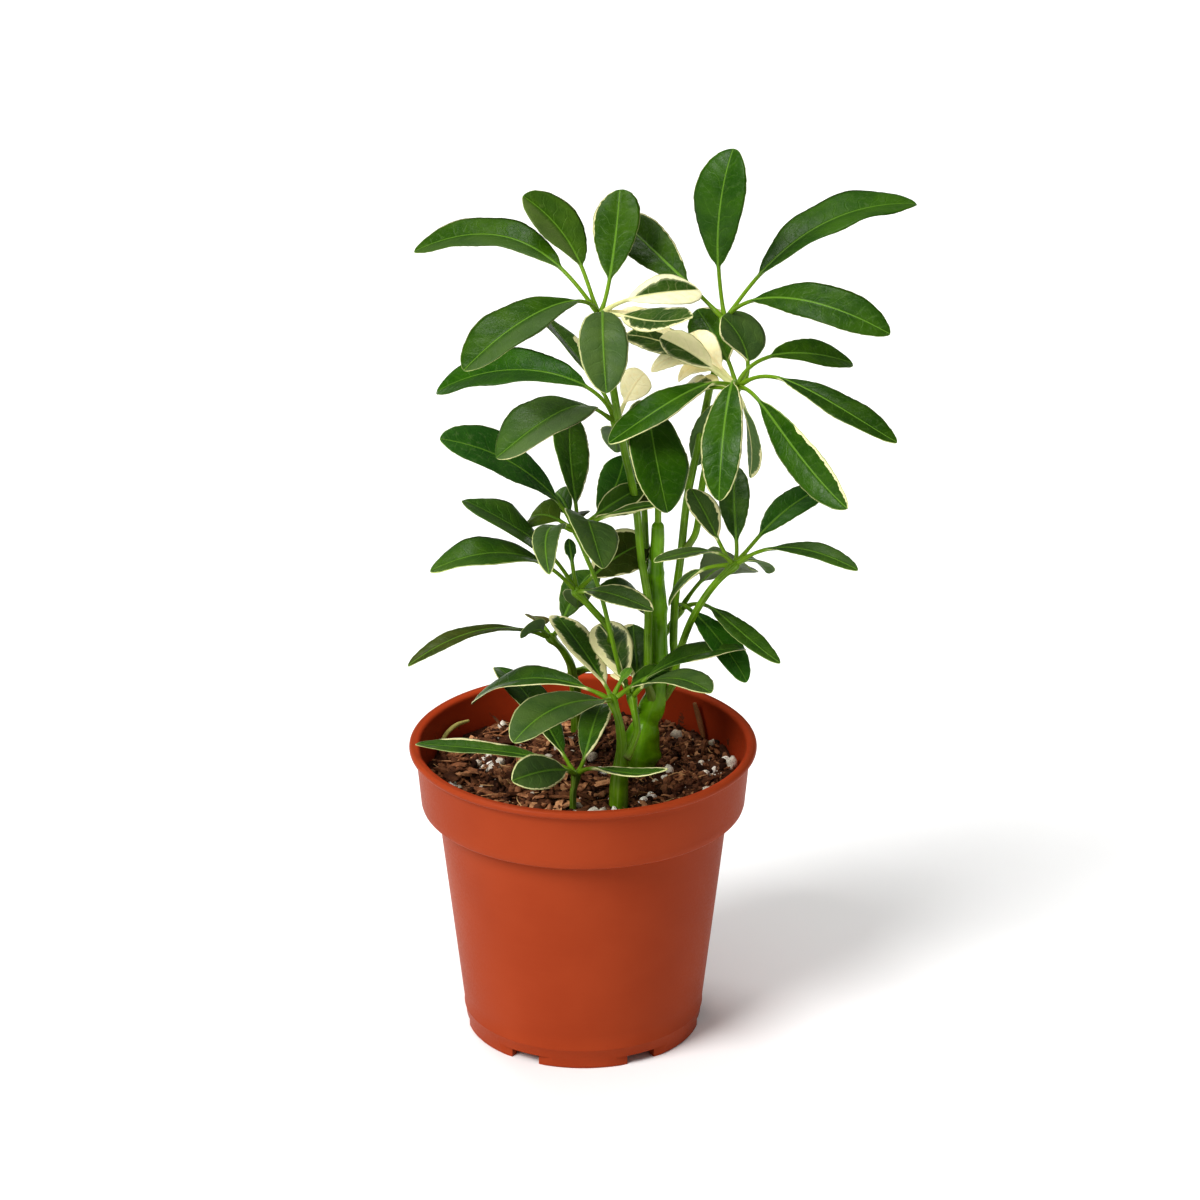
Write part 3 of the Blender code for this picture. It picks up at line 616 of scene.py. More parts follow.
def stemPattern():
    tree, given, result = newGroup("stemPattern", {"Streaks": 0.4, "Flecks": 0.5, "Gloss": 0.36, "Old share": 0.1}, {
        "Fresh": (0.13, 0.27, 0.02), "Deep": (0.07, 0.17, 0.012), "Old": (0.20, 0.22, 0.07),
        "Fleck": (0.34, 0.46, 0.14)}, ("Colour", "Roughness", "Height"))
    place = addNode(tree, "ShaderNodeUVMap", uv_map="surfaceMap").outputs[0]
    body = addNode(tree, "ShaderNodeTexCoord").outputs["Object"]
    rise = attribute(tree, "rise")
    split = addNode(tree, "ShaderNodeSeparateXYZ", {0: place})
    lines = joined(tree, calc(tree, "MULTIPLY", split.outputs[0], 0.06), calc(tree, "MULTIPLY", split.outputs[1], 2.6), 0)
    streak = noiseAt(tree, lines, 1.0, 2.0)
    patches = noiseAt(tree, body, 160.0, 3.0)
    colour = blendColour(tree, ramp(tree, patches, 0.35, 0.65), given["Deep"], given["Fresh"])
    colour = blendColour(tree, calc(tree, "MULTIPLY", ramp(tree, streak, 0.45, 0.7), given["Streaks"]), colour,
                         given["Fleck"])
    oldness = calc(tree, "MULTIPLY", ramp(tree, calc(tree, "ADD", rise, calc(tree, "MULTIPLY", patches, 0.15)),
                                          calc(tree, "ADD", given["Old share"], 0.12), 0.05), 0.7)
    colour = blendColour(tree, oldness, colour, given["Old"])
    cells = addNode(tree, "ShaderNodeTexVoronoi", {"Vector": body, "Scale": 620.0})
    fleck = calc(tree, "MULTIPLY", ramp(tree, cells.outputs["Distance"], 0.22, 0.10), given["Flecks"])
    rare = ramp(tree, noiseAt(tree, body, 300.0, 1.0), 0.52, 0.6)
    fleck = calc(tree, "MULTIPLY", fleck, rare)
    tree.links.new(blendColour(tree, fleck, colour, given["Fleck"]), result.inputs["Colour"])
    shine = calc(tree, "ADD", given["Gloss"], calc(tree, "MULTIPLY", oldness, 0.15))
    tree.links.new(calc(tree, "ADD", shine, ramp(tree, patches, 0.3, 0.7, -0.04, 0.05)), result.inputs["Roughness"])
    height = calc(tree, "ADD", calc(tree, "MULTIPLY", streak, 0.7), calc(tree, "MULTIPLY", fleck, 0.4))
    tree.links.new(height, result.inputs["Height"])
    return tree


stemGroup = stemPattern()
stemKinds = {
    "trunk": {"Fresh": (0.19, 0.42, 0.006), "Deep": (0.11, 0.27, 0.004), "Gloss": 0.24, "Old share": 0.0,
              "Flecks": 0.35, "Streaks": 0.2},
    "petiole": {"Fresh": (0.165, 0.33, 0.004), "Deep": (0.105, 0.22, 0.003), "Flecks": 0.4},
    "green stem": {"Fresh": (0.16, 0.31, 0.005), "Deep": (0.095, 0.20, 0.004), "Old share": 0.1},
    "soil stem": {"Fresh": (0.11, 0.20, 0.010), "Deep": (0.06, 0.11, 0.006), "Old": (0.16, 0.13, 0.06),
                  "Old share": 0.35},
}
stemMaterials = {name: newMaterial("stem " + name, stemGroup, settings, 0.25, 0.5, Specular_IOR_Level=0.15,
                                   Coat_Weight=0.07, Coat_Roughness=0.15) for name, settings in stemKinds.items()}


def spline(points, step):
    # a Catmull-Rom curve through the points, with a place about every step
    points = [np.array(p, float) for p in points]
    ends = [2 * points[0] - points[1]] + points + [2 * points[-1] - points[-2]]
    path = [points[0]]
    for a, b, c, d in zip(ends, ends[1:], ends[2:], ends[3:]):
        parts = max(1, round(np.linalg.norm((c - b)[:3]) / step))
        for k in range(1, parts + 1):
            t = k / parts
            path.append(0.5 * (2 * b + (c - a) * t + (2 * a - 5 * b + 4 * c - d) * t * t
                               + (3 * b - a - 3 * c + d) * t ** 3))
    return np.array(path)


def sweep(name, path, radii, sides, shapeOf=None):
    # a round body along a path; shapeOf(length, angle) gives the share of the radius there
    ahead = unit(np.gradient(path, axis=0))
    length = np.concatenate([[0], np.cumsum(np.linalg.norm(np.diff(path, axis=0), axis=1))])
    side = np.array(Vector(ahead[0]).orthogonal().normalized())
    angle = np.arange(sides) * 2 * math.pi / sides
    rings = []
    for k, (point, forward) in enumerate(zip(path, ahead)):
        side = unit(side - forward * (side @ forward))
        other = np.cross(forward, side)
        share = np.ones(sides) if shapeOf is None else shapeOf(length[k], angle)
        rings.append(point + (np.outer(np.cos(angle), side) + np.outer(np.sin(angle), other))
                     * (radii[k] * share)[:, None])
    rows = len(path)
    places = np.vstack([*rings, path[0][None] - ahead[0] * 0.05, path[-1][None] + ahead[-1] * radii[-1] * 0.3])
    faces = ringFaces(rows, sides)
    faces += fanFaces(list(range(sides)), rows * sides, flip=True)
    faces += fanFaces(list(range((rows - 1) * sides, rows * sides)), rows * sides + 1)
    rise = np.concatenate([np.repeat(length / length[-1], sides), [0, 1]])
    along = np.concatenate([np.repeat(length, sides), [0, length[-1]]])
    around = np.concatenate([np.tile(1.6 * np.sin(angle), rows), [0, 0]])
    mesh = newMesh(name, places, faces, {"rise": rise}, np.stack([along, around], 1))
    return outwards(mesh)


stemShape = {"sides": 28, "step": 1.0, "sheath": 0.45, "sheathLength": 3.2, "hubSwell": 0.75, "hubLength": 2.6,
             "ribs": 0.035, "ribCount": 5, "forkIn": 2.2, "forkDrop": 4.0}


def growStem(name, replaced, kind, whorl=True, buried=False, extra=None, taper=1.0):
    rings, pole = readRings(replaced)
    centres = np.array([ring.mean(0) for ring in rings])
    radii = np.array([np.linalg.norm(ring - ring.mean(0), axis=1).mean() for ring in rings])
    if not buried:
        # leaves its parent stem in a shallow fork instead of a square elbow
        sideways, down = unit(centres[0] - centres[1]), unit(centres[1] - centres[2])
        fork = centres[0] + sideways * stemShape["forkIn"] + down * stemShape["forkDrop"]
        centres = np.vstack([fork, (fork + centres[1]) / 2, centres[1] - down * 1.5, centres[2:]])
        radii = np.hstack([radii[:2], radii[1:]])
    if whorl:
        hub = pole - unit(pole - centres[-1]) * 2.6
        centres, radii = np.vstack([centres[:-4], hub]), np.append(radii[:-4], radii[-5])
    line = spline(np.hstack([centres, radii[:, None]]), stemShape["step"])
    path, radii = line[:, :3], line[:, 3].copy()
    length = np.concatenate([[0], np.cumsum(np.linalg.norm(np.diff(path, axis=0), axis=1))])
    left = length[-1] - length
    if not buried:
        radii = radii * (1 + stemShape["sheath"] * np.exp(-(length / stemShape["sheathLength"]) ** 2))
    if whorl:
        radii = radii + stemShape["hubSwell"] * np.exp(-(left / stemShape["hubLength"]) ** 2)
        cap = np.linspace(0, 1, 5)[1:]
        ahead = unit(path[-1] - path[-2])
        path = np.vstack([path, path[-1] + np.outer(cap * radii[-1] * 0.8, ahead)])
        radii = np.append(radii, radii[-1] * np.sqrt(1 - (cap * 0.97) ** 2))
        length = np.concatenate([[0], np.cumsum(np.linalg.norm(np.diff(path, axis=0), axis=1))])

    def ribbed(l, angle):
        share = 1 + stemShape["ribs"] * np.sin(stemShape["ribCount"] * angle + 0.04 * l)
        return share if extra is None else share * extra(l, angle)

    mesh = sweep(name, path, radii * taper, stemShape["sides"], ribbed)
    return newPiece(name, mesh, stemMaterials[kind], (replaced,))


# how slender each stalk is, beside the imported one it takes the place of
slenderness = {"crown": 0.85, "left": 0.82, "inner": 0.85, "upper_right": 0.85, "right": 0.85, "mid_right": 0.85,
               "low_right": 0.85, "mid_left": 0.56, "low_left": 0.85, "front_right": 0.8}
for whorl, share in slenderness.items():
    growStem(whorl + "_stalk", whorl + "_petiole", "petiole", taper=share)


def slimming(l, angle):
    # full at the mix, slender from a little way up
    return 1.0 - 0.32 * smoothStep(18.0, 36.0, l)


growStem("front_shoot", "front_stem", "green stem", buried=True, extra=slimming)
growStem("rear_shoot", "rear_stem", "green stem", buried=True, taper=0.8)
growStem("soil_level_shoot", "soil_level_stem", "soil stem", buried=True, taper=0.8)

# the trunk swells in a glossy bulb over the mix, is drawn in at its joints, and bulges to one side
trunkShape = {        # height along the trunk, spread, share of the radius added
    "swellings": ((21.5, 6.0, 0.26), (31.0, 1.9, -0.17), (35.5, 3.0, 0.14), (17.6, 0.6, -0.05), (52.0, 1.2, 0.10),
                  (68.0, 1.2, 0.10), (80.0, 1.2, 0.12)),
    "lobe": (19.5, 3.2, 0.34, -1.15)}


def trunkForm(l, angle):
    share = np.ones(len(angle))
    for height, spread, amount in trunkShape["swellings"]:
        share = share + amount * math.exp(-((l - height) / spread) ** 2)
    height, spread, amount, towards = trunkShape["lobe"]
    facing = np.clip(np.cos(angle - towards), 0, 1) ** 2
    return share + amount * facing * math.exp(-((l - height) / spread) ** 2)


growStem("main_trunk", "trunk", "trunk", whorl=False, buried=True, extra=trunkForm)
print("stems grown")


# nursery pot

potShape = {
    "sides": 180, "baseRadius": 36.7, "neckRadius": 45.4, "collarBottom": 50.3, "collarTop": 52.0,
    "collarHeight": 20.7, "lipHeight": 2.4, "wall": 1.4, "underside": 3.8, "foot": 3.4, "pad": 12.0,
    "mouldLine": 6.7, "notches": 6, "notchHeight": 3.3, "notchHalf": 4.8, "facet": 35.9, "facetHalf": 10.0,
}


def arc(centre, radius, start, end, steps=5):
    turns = [math.radians(start + (end - start) * k / steps) for k in range(steps + 1)]
    return [(centre[0] + radius * math.cos(t), centre[1] + radius * math.sin(t)) for t in turns]


def potOutline():
    s = potShape
    top, ledge, lip = potHigh.z, potHigh.z - s["collarHeight"], potHigh.z - s["lipHeight"]
    rim, wall = potHigh.x, s["wall"]
    floorTop = s["underside"] + wall

    def wallAt(z):
        return s["baseRadius"] + (s["neckRadius"] - s["baseRadius"]) * z / ledge

    def collarAt(z):
        return s["collarBottom"] + (s["collarTop"] - s["collarBottom"]) * (z - ledge) / (lip - ledge)

    foot = s["baseRadius"] - s["foot"]
    line = s["mouldLine"]
    outside = [(s["pad"], 0)] + [(s["pad"] + 0.6, s["underside"]), (foot - 0.4, s["underside"])]
    outside += [(foot, 0.5), (foot + 0.5, 0), (s["baseRadius"] - 0.7, 0)]
    outside += arc((s["baseRadius"] - 0.6, 0.7), 0.7, -90, 5)
    outside += [(wallAt(line - 0.5), line - 0.5), (wallAt(line) + 0.22, line - 0.1), (wallAt(line) + 0.22, line + 0.1)]
    outside += [(wallAt(z), z) for z in np.linspace(line + 0.5, ledge - 2.2, 14)]
    outside += arc((wallAt(ledge - 2.2) + 2.0, ledge - 2.0), 2.0, 180, 90, 4)[1:]
    outside += arc((s["collarBottom"] - 1.1, ledge + 1.1), 1.1, -90, 0, 6)
    outside += [(collarAt(z), z) for z in np.linspace(ledge + 1.4, lip - 1.0, 12)]
    outside += arc((collarAt(lip) + 0.7, lip - 0.75), 0.7, 180, 95, 3)[1:]
    outside += arc((rim - 1.15, lip + 1.2), 1.15, -80, 100, 9)
    inside = [(s["collarTop"] - 0.2, top - 0.1)] + arc((s["collarTop"] - 0.1, top - 1.5), 1.3, 110, 180, 4)
    inside += [(collarAt(z) - wall, z) for z in np.linspace(lip - 1, ledge + wall + 1.2, 12)]
    inside += [(s["collarBottom"] - wall - 1.2, ledge + wall), (s["neckRadius"] - wall + 0.6, ledge + wall)]
    inside += [(wallAt(z) - wall, z) for z in np.linspace(ledge - 1, floorTop + 1.2, 10)]
    inside += [(wallAt(floorTop) - wall - 1.2, floorTop), (s["pad"], floorTop)]
    return outside, inside


def potMesh():
    outside, inside = potOutline()
    outline = outside + inside
    sides = potShape["sides"]
    angle = np.arange(sides) * 2 * math.pi / sides
    places = [(r * math.cos(a), r * math.sin(a), z) for r, z in outline for a in angle]
    faces = ringFaces(len(outline), sides)
    count = len(places)
    places += [(0, 0, 0), (0, 0, outline[-1][1])]
    faces += fanFaces(list(range(sides)), count, flip=True)
    faces += fanFaces(list(range(count - sides, count)), count + 1)
    inner = np.concatenate([np.repeat([0.0] * len(outside) + [1.0] * len(inside), sides), [0, 1]])
    return outwards(newMesh("pot", places, faces, {"inner": inner}))


def notchCutter():
    s = potShape
    low, outer = s["baseRadius"] - 2.8 * s["foot"], s["baseRadius"] + 6
    plan = [(low, -s["notchHalf"]), (s["facet"], -s["notchHalf"]), (s["facet"], -s["facetHalf"]),
            (outer, -s["facetHalf"])]
    plan += [(x, -y) for x, y in plan[::-1]]
    places, faces = [], []
    for k in range(s["notches"]):
        turn = Matrix.Rotation(2 * math.pi * k / s["notches"], 3, "Z")
        first = len(places)
        places += [turn @ Vector((x, y, z)) for z in (-2, s["notchHeight"]) for x, y in plan]
        faces += [tuple(range(first, first + 8))[::-1], tuple(range(first + 8, first + 16))]
        faces += ringFaces(2, 8, first)
    return outwards(newMesh("notches", places, faces))


def finished(piece):
    # the mesh that a piece's modifiers give
    state = bpy.context.evaluated_depsgraph_get()
    mesh = bpy.data.meshes.new_from_object(piece.evaluated_get(state), preserve_all_data_layers=True, depsgraph=state)
    piece.modifiers.clear()
    piece.data = mesh
    return piece


def plasticPattern():
    tree, given, result = newGroup("mouldedPlastic", {"Gloss": 0.42, "Soiled": 1.0}, {
        "Clay": (0.315, 0.051, 0.015), "Inside": (0.42, 0.058, 0.016), "Soil": (0.12, 0.055, 0.03)},
        ("Colour", "Roughness", "Height"))
    body = addNode(tree, "ShaderNodeTexCoord").outputs["Object"]
    split = addNode(tree, "ShaderNodeSeparateXYZ", {0: body})
    inner = attribute(tree, "inner")
    broad = noiseAt(tree, body, 26.0, 3.0)
    fine = noiseAt(tree, body, 1400.0, 2.0)
    drawn = joined(tree, calc(tree, "MULTIPLY", split.outputs[0], 60.0), calc(tree, "MULTIPLY", split.outputs[1], 60.0),
                   calc(tree, "MULTIPLY", split.outputs[2], 900.0))
    lines = noiseAt(tree, drawn, 1.0, 2.0)
    lighter = blendColour(tree, 1.0, given["Clay"], (1.10, 1.16, 1.2, 1), "MULTIPLY")
    colour = blendColour(tree, ramp(tree, broad, 0.35, 0.7), given["Clay"], lighter)
    colour = blendColour(tree, calc(tree, "MULTIPLY", ramp(tree, lines, 0.45, 0.7), 0.12), colour, lighter)
    colour = blendColour(tree, inner, colour, given["Inside"])
    height = calc(tree, "MULTIPLY", split.outputs[2], 1000.0)
    low = calc(tree, "MULTIPLY", ramp(tree, height, 93.0, 84.0), inner)
    splash = ramp(tree, noiseAt(tree, body, 210.0, 5.0, 0.7), 0.60, 0.68)
    soiled = calc(tree, "MULTIPLY", calc(tree, "MULTIPLY", splash, low), given["Soiled"])
    colour = blendColour(tree, soiled, colour, given["Soil"])
    tree.links.new(colour, result.inputs["Colour"])
    shine = calc(tree, "ADD", given["Gloss"], ramp(tree, fine, 0.3, 0.7, -0.05, 0.06))
    shine = calc(tree, "ADD", shine, calc(tree, "MULTIPLY", soiled, 0.35))
    tree.links.new(calc(tree, "ADD", shine, calc(tree, "MULTIPLY", inner, 0.1)), result.inputs["Roughness"])
    tree.links.new(calc(tree, "ADD", calc(tree, "MULTIPLY", fine, 0.5), calc(tree, "MULTIPLY", lines, 0.5)),
                   result.inputs["Height"])
    return tree


def makePot():
    plastic = newMaterial("terracotta plastic", plasticPattern(), {}, 0.08, 0.35, Specular_IOR_Level=0.07)
    pot = newPiece("pot", potMesh(), plastic, ("nursery_pot",))
    cutter = bpy.data.objects.new("notches", notchCutter())
    bpy.context.scene.collection.objects.link(cutter)
    cut = pot.modifiers.new("notches", "BOOLEAN")
    cut.object, cut.solver, cut.operation = cutter, "EXACT", "DIFFERENCE"
    finished(pot)
    bpy.data.objects.remove(cutter)
    pot.data.set_sharp_from_angle(angle=math.radians(38))
    return pot


makePot()
print("pot made")


# young, hidden and half-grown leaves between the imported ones, each from the knob of its whorl:
# seat, lift, heading, rise, reach, arch, bow, width, roll, stalk, look
youngLeaves = {
    "crown": [
        (-25, 15, -40, 12, 37, -2, 3, 14, 18, 5, {"kind": "creamy", "Left cream": 0.4, "Right cream": 1.5, "Ragged": 1.3}),
        (40, 5, 21, -21, 25, 2, -2, 8, 30, 4, {"kind": "blanched"}),
    ],
    "left": [
        (30, 60, 20, 58, 17.5, 1, 0, 10, 62, 4, {"kind": "blanched", "shape": {"point": 0.45}}),
        (100, -30, 89, -39, 29, 3, 0, 10, 10, 5, {"kind": "waxy and sheened", "Sheen and bloom": (0.10, 0.11, 0.08)}),
    ],
    "right": [
        (103, 37, 107, 18, 40, -2, 2, 14, -22, 9, {"kind": "fresh", "Right cream": 0.9, "Ragged": 0.5,
                                                   "Green": (0.045, 0.13, 0.003)}),
        (160, 35, 160, 28, 27.5, 1, 1, 11, -30, 6, {"kind": "creamy", "Left cream": 0.5, "Right cream": 9.0,
                                                   "Ragged": 0.6}),
        (145, 25, 140, 9, 44, 3, 2, 12, -20, 10, {"kind": "creamy", "Left cream": 0.6, "Right cream": 1.0}),
        (125, 30, 118, 19, 28.6, 2, -2, 10, -25, 5, {"kind": "blanched"}),
        (140, 30, 145, -2, 31, 7, 2, 8, -40, 8, {"kind": "blanched"}),
        (140, 25, 139, -8, 23, 6, 1, 8, -40, 6, {"kind": "blanched"}),
        (145, 0, 141, -19, 19, 3, 0, 9, -20, 3, {"kind": "creamy", "Left cream": 0.6, "Right cream": 2.2}),
        (140, -5, 130, -26, 27, 3, 0, 10, -35, 5, {"kind": "blanched"}),
        (150, -10, 133, -33, 42, 6, 3, 17, -25, 7, {"kind": "deep", "Right cream": 3.4, "Ragged": 0.8}),
        (80, -40, 73, -64, 39, 4, 2, 8, 40, 8, {"kind": "creamy", "Left cream": 0.5, "Right cream": 0.9,
                                                "Cream start": 0.6}),
        (110, -30, 112, -50, 46, 3, 0, 9, 25, 8, {"kind": "deep"}),
    ],
    "mid_right": [
        (-151, 53, -141, 16, 33, 3, -2, 8, -1, 6, {"kind": "waxy and sheened", "Left cream": 0.4, "Right cream": 0.4}),
        (55, 0, 57, -25, 22, 3, 0, 9, 10, 4, {"kind": "deep"}),
        (150, -10, 158, -38, 27, 4, 2, 7, -20, 8, {"kind": "waxy and sheened", "Left cream": 0.6, "Right cream": 0.5}),
    ],
    "low_right": [
        (-98, 52, -51, -23, 35, 6, 2, 12, 2, 8, {"kind": "deep", "Green": (0.03, 0.12, 0.008)}),
    ],
    "mid_left": [
        (130, 10, 133, -5, 21, 3, 0, 13, -30, 5, {"kind": "olive", "Green": (0.06, 0.11, 0.008)}),
        (90, 0, 90, -9, 26, 2, 0, 9, 0, 6, {"kind": "olive", "Left cream": 0.4}),
        (100, 10, 104, 7, 26, 2, 0, 8, -40, 6, {"kind": "deep"}),
        (15, 30, 9, 15, 28, 2, 1, 5, 15, 6, {"kind": "deep", "Left cream": 0.7, "Right cream": 0.7, "Ragged": 0.1}),
        (40, 25, 36, 19, 27, 1, 0, 9, 30, 5, {"kind": "deep", "Left cream": 0.4, "Right cream": 0.5, "Ragged": 0.1}),
        (45, 15, 42, 7, 35, 2, 0, 11, 35, 6, {"kind": "olive", "Left cream": 0.6, "Right cream": 0.4}),
    ],
    "low_left": [
        (100, 45, 103, 52, 17, 0, 0, 4, 0, 9, {"kind": "fresh", "Green": (0.04, 0.11, 0.02)}),
        (45, 20, 35, 20, 29, 2, -1, 15, 38, 4, {"kind": "olive", "Left cream": 1.4, "Right cream": 0.4, "Ragged": 0.7}),
        (40, -10, 38, -27, 31, 4, 1, 13, 32, 5, {"kind": "deep", "Left cream": 0.3, "Right cream": 0.5}),
        (95, -20, 89, -33, 27, 3, 0, 9, 0, 5, {"kind": "olive"}),
    ],
    "rear_low": [
        (-140, 40, -131, 18, 15, 4, -2, 9, 55, 3, {"kind": "waxy and sheened", "Sheen and bloom": (0.18, 0.18, 0.14)}),
        (120, 30, 118, 12, 13, 1, 0, 9, 20, 3, {"kind": "olive", "Green": (0.10, 0.10, 0.02)}),
        (60, 10, 60, 25, 30, 4, 0, 11, 10, 5, {"kind": "deep"}),
    ],
    "front_right": [
        (71, 20, 89, 15, 37, 1, 0, 12, 11, 3, {"kind": "deep", "Left cream": 2.0, "Right cream": 0.4, "Ragged": 0.5,
                                               "Cream start": 0.1}),
        (112, 25, 111, 24, 32, 3, 1, 13, -15, 4, {"kind": "creamy", "Left cream": 2.4, "Right cream": 1.6}),
        (110, 30, 118, 15, 13, 1, 0, 4, 0, 3, {"kind": "blanched"}),
        (75, 55, 72, 45, 7, 0, 0, 2.6, 0, 2, {"kind": "fresh", "Green": (0.16, 0.30, 0.04)}),
        (150, 60, 140, 62, 6.5, 0, 0, 2.4, 0, 2, {"kind": "fresh", "Green": (0.20, 0.34, 0.06)}),
    ],
    "front_left": [
        (60, 45, 50, 40, 12, 1, 0, 3.4, 10, 3, {"kind": "fresh", "Green": (0.12, 0.26, 0.03)}),
        (20, 30, 35, 12, 22, 2, 0, 8, 20, 4, {"kind": "deep", "Right cream": 0.5}),
    ],
    "soil_level": [
        (69, 10, 77, 12, 38, 4, 0, 10, -6, 4, {"kind": "deep", "Right cream": 1.0, "Ragged": 0.4}),
        (-29, 42, -36, 18, 36, -2, 2, 8, 2, 4, {"kind": "deep", "Left cream": 0.9, "Right cream": 0.9, "Ragged": 0.12}),
    ],
}


for whorlNumber, (whorl, leaves) in enumerate(youngLeaves.items()):
    for number, (*drawn, look) in enumerate(leaves, 1):
        hub = hubs[whorl]
        growLeaf(f"{whorl}_young_leaf_{number}", hub, drawnBlade(Vector(hub), *drawn), look,
                 5000 + 100 * whorlNumber + number * 11)
print("young leaves grown:", sum(len(leaves) for leaves in youngLeaves.values()))


# potting mix: a rough bed, then crumbs, bark, fibres and perlite lying on it

mixShape = {"bedRings": 64, "bedSides": 200, "rough": 0.9, "sink": 0.5, "reach": 49.4,
            "wall": ((49.0, 78.5), (43.4, 73.4), (35.5, 7.0))}        # down the inside of the pot
scatter = {
    "crumbs": {"count": 3400, "size": (0.35, 1.5), "flat": 0.8},
    "bark": {"count": 640, "size": (2.4, 10.5), "width": (0.9, 3.2), "thick": (0.35, 1.2)},
    "fibres": {"count": 460, "size": (3.0, 11.0), "width": (0.10, 0.28)},
    "perlite": {"count": 175, "size": (0.5, 2.1)},
    "dust": {"count": 320, "size": (0.2, 0.5)},
    "clusters": ((6.5, -33), (8, -29), (25, 1), (46, -11), (-29.5, 8), (-43.5, -12), (-19, -43), (-34, -29), (-14, -45),
                 (33, -36), (4, 3), (41, 6)),
    "root": {"path": ((-45.4, 17.5, 85.0), (-43.4, 22.5, 87.3), (-40.2, 27.0, 88.6), (-36.4, 31.4, 88.2)), "radius": 0.75},
    "twig": {"path": ((38.2, 29.0, 83.0), (36.9, 31.4, 88.0), (35.2, 33.2, 93.6)), "radius": 0.95},
}


def roughness(x, y):
    # the uneven surface between the lumps, in mm
    p = Vector((x, y, 0.0))
    from_noise = [noiseLib.noise(p * k + Vector((7.1, 3.3, 1.7)) * k) / (1 + k * 1.6) for k in (0.09, 0.25, 0.7)]
    return sum(from_noise) * 2.4 * mixShape["rough"]


def bedHeight(x, y):
    return mixHeight(x * 0.985, y * 0.985) - mixShape["sink"] + roughness(x, y)


def makeBed(material):
    rings, sides, reach = mixShape["bedRings"], mixShape["bedSides"], mixShape["reach"]
    places = [(0, 0, bedHeight(0, 0))]
    for k in range(1, rings + 1):
        r = reach * k / rings
        for i in range(sides):
            a = 2 * math.pi * i / sides
            x, y = r * math.cos(a), r * math.sin(a)
            places.append((x, y, bedHeight(x, y)))
    faces = [(0, 1 + i, 1 + (i + 1) % sides) for i in range(sides)]
    faces += ringFaces(rings, sides, 1)
    rim = 1 + (rings - 1) * sides
    for r, z in mixShape["wall"]:
        places += [(r * math.cos(2 * math.pi * i / sides), r * math.sin(2 * math.pi * i / sides), z)
                   for i in range(sides)]
    faces += ringFaces(4, sides, rim)
    places.append((0, 0, mixShape["wall"][-1][1]))
    faces += fanFaces(list(range(rim + 3 * sides, rim + 4 * sides)), len(places) - 1)
    mesh = outwards(newMesh("mix bed", places, faces, {"tint": np.full(len(places), 0.3)}))
    return newPiece("mix_bed", mesh, material, ("potting_mix",))


def lump(chance, size, flat):
    # a small irregular stone-like body
    shape = bmesh.new()
    bmesh.ops.create_icosphere(shape, subdivisions=2 if size > 0.9 else 1, radius=size)
    turn = Vector((chance.uniform(0, 50), chance.uniform(0, 50), chance.uniform(0, 50)))
    squash = Vector((chance.uniform(0.7, 1.25), chance.uniform(0.7, 1.25), flat * chance.uniform(0.7, 1.1)))
    for v in shape.verts:
        grow = 1 + 0.42 * noiseLib.noise(v.co / size * 1.3 + turn) + 0.16 * noiseLib.noise(v.co / size * 3.4 + turn)
        v.co = v.co * grow * squash
    shape.verts.index_update()
    found = [tuple(v.co) for v in shape.verts], [tuple(v.index for v in f.verts) for f in shape.faces]
    shape.free()
    return found


def chip(chance, length, width, thick):
    # a split piece of bark: a flat sliver with torn ends and a stepped side
    rows = 6
    places, faces = [], []
    bow = chance.uniform(-0.08, 0.10) * length
    for k in range(rows):
        t = k / (rows - 1)
        w = width / 2 * (0.55 + 0.45 * math.sin(math.pi * min(1, 0.15 + t * 0.75))) * chance.uniform(0.75, 1.15)
        h = thick / 2 * chance.uniform(0.65, 1.2) * (0.6 if k in (0, rows - 1) else 1)
        z = bow * math.sin(math.pi * t)
        for x, up in ((-1, -0.6), (-0.3, -1), (0.8, -0.8), (1, 0.5), (0.2, 1), (-0.75, 0.8)):
            jag = chance.uniform(-0.08, 0.08) * length if k in (0, rows - 1) else 0
            places.append(((t - 0.5) * length + jag, x * w + chance.uniform(-0.1, 0.1) * w,
                           z + up * h + chance.uniform(-0.1, 0.1) * h))
    faces += ringFaces(rows, 6)
    faces += [tuple(range(6))[::-1], tuple(range((rows - 1) * 6, rows * 6))]
    return places, faces


def fibre(chance, length, width):
    rows, sides = 9, 5
    bend, sway = chance.uniform(-0.5, 0.5), chance.uniform(-1.4, 1.4)
    places = []
    for k in range(rows):
        t = k / (rows - 1)
        r = width * (0.35 + 0.65 * math.sin(math.pi * (0.12 + 0.8 * t)))
        x, y = (t - 0.5) * length, sway * length * 0.18 * math.sin(math.pi * t) + 0.03 * length * math.sin(9 * t)
        z = bend * length * 0.25 * (t - 0.5) ** 2
        places += [(x, y + r * math.cos(2 * math.pi * i / sides), z + r * math.sin(2 * math.pi * i / sides))
                   for i in range(sides)]
    return places, ringFaces(rows, sides) + [tuple(range(sides))[::-1], tuple(range((rows - 1) * sides, rows * sides))]


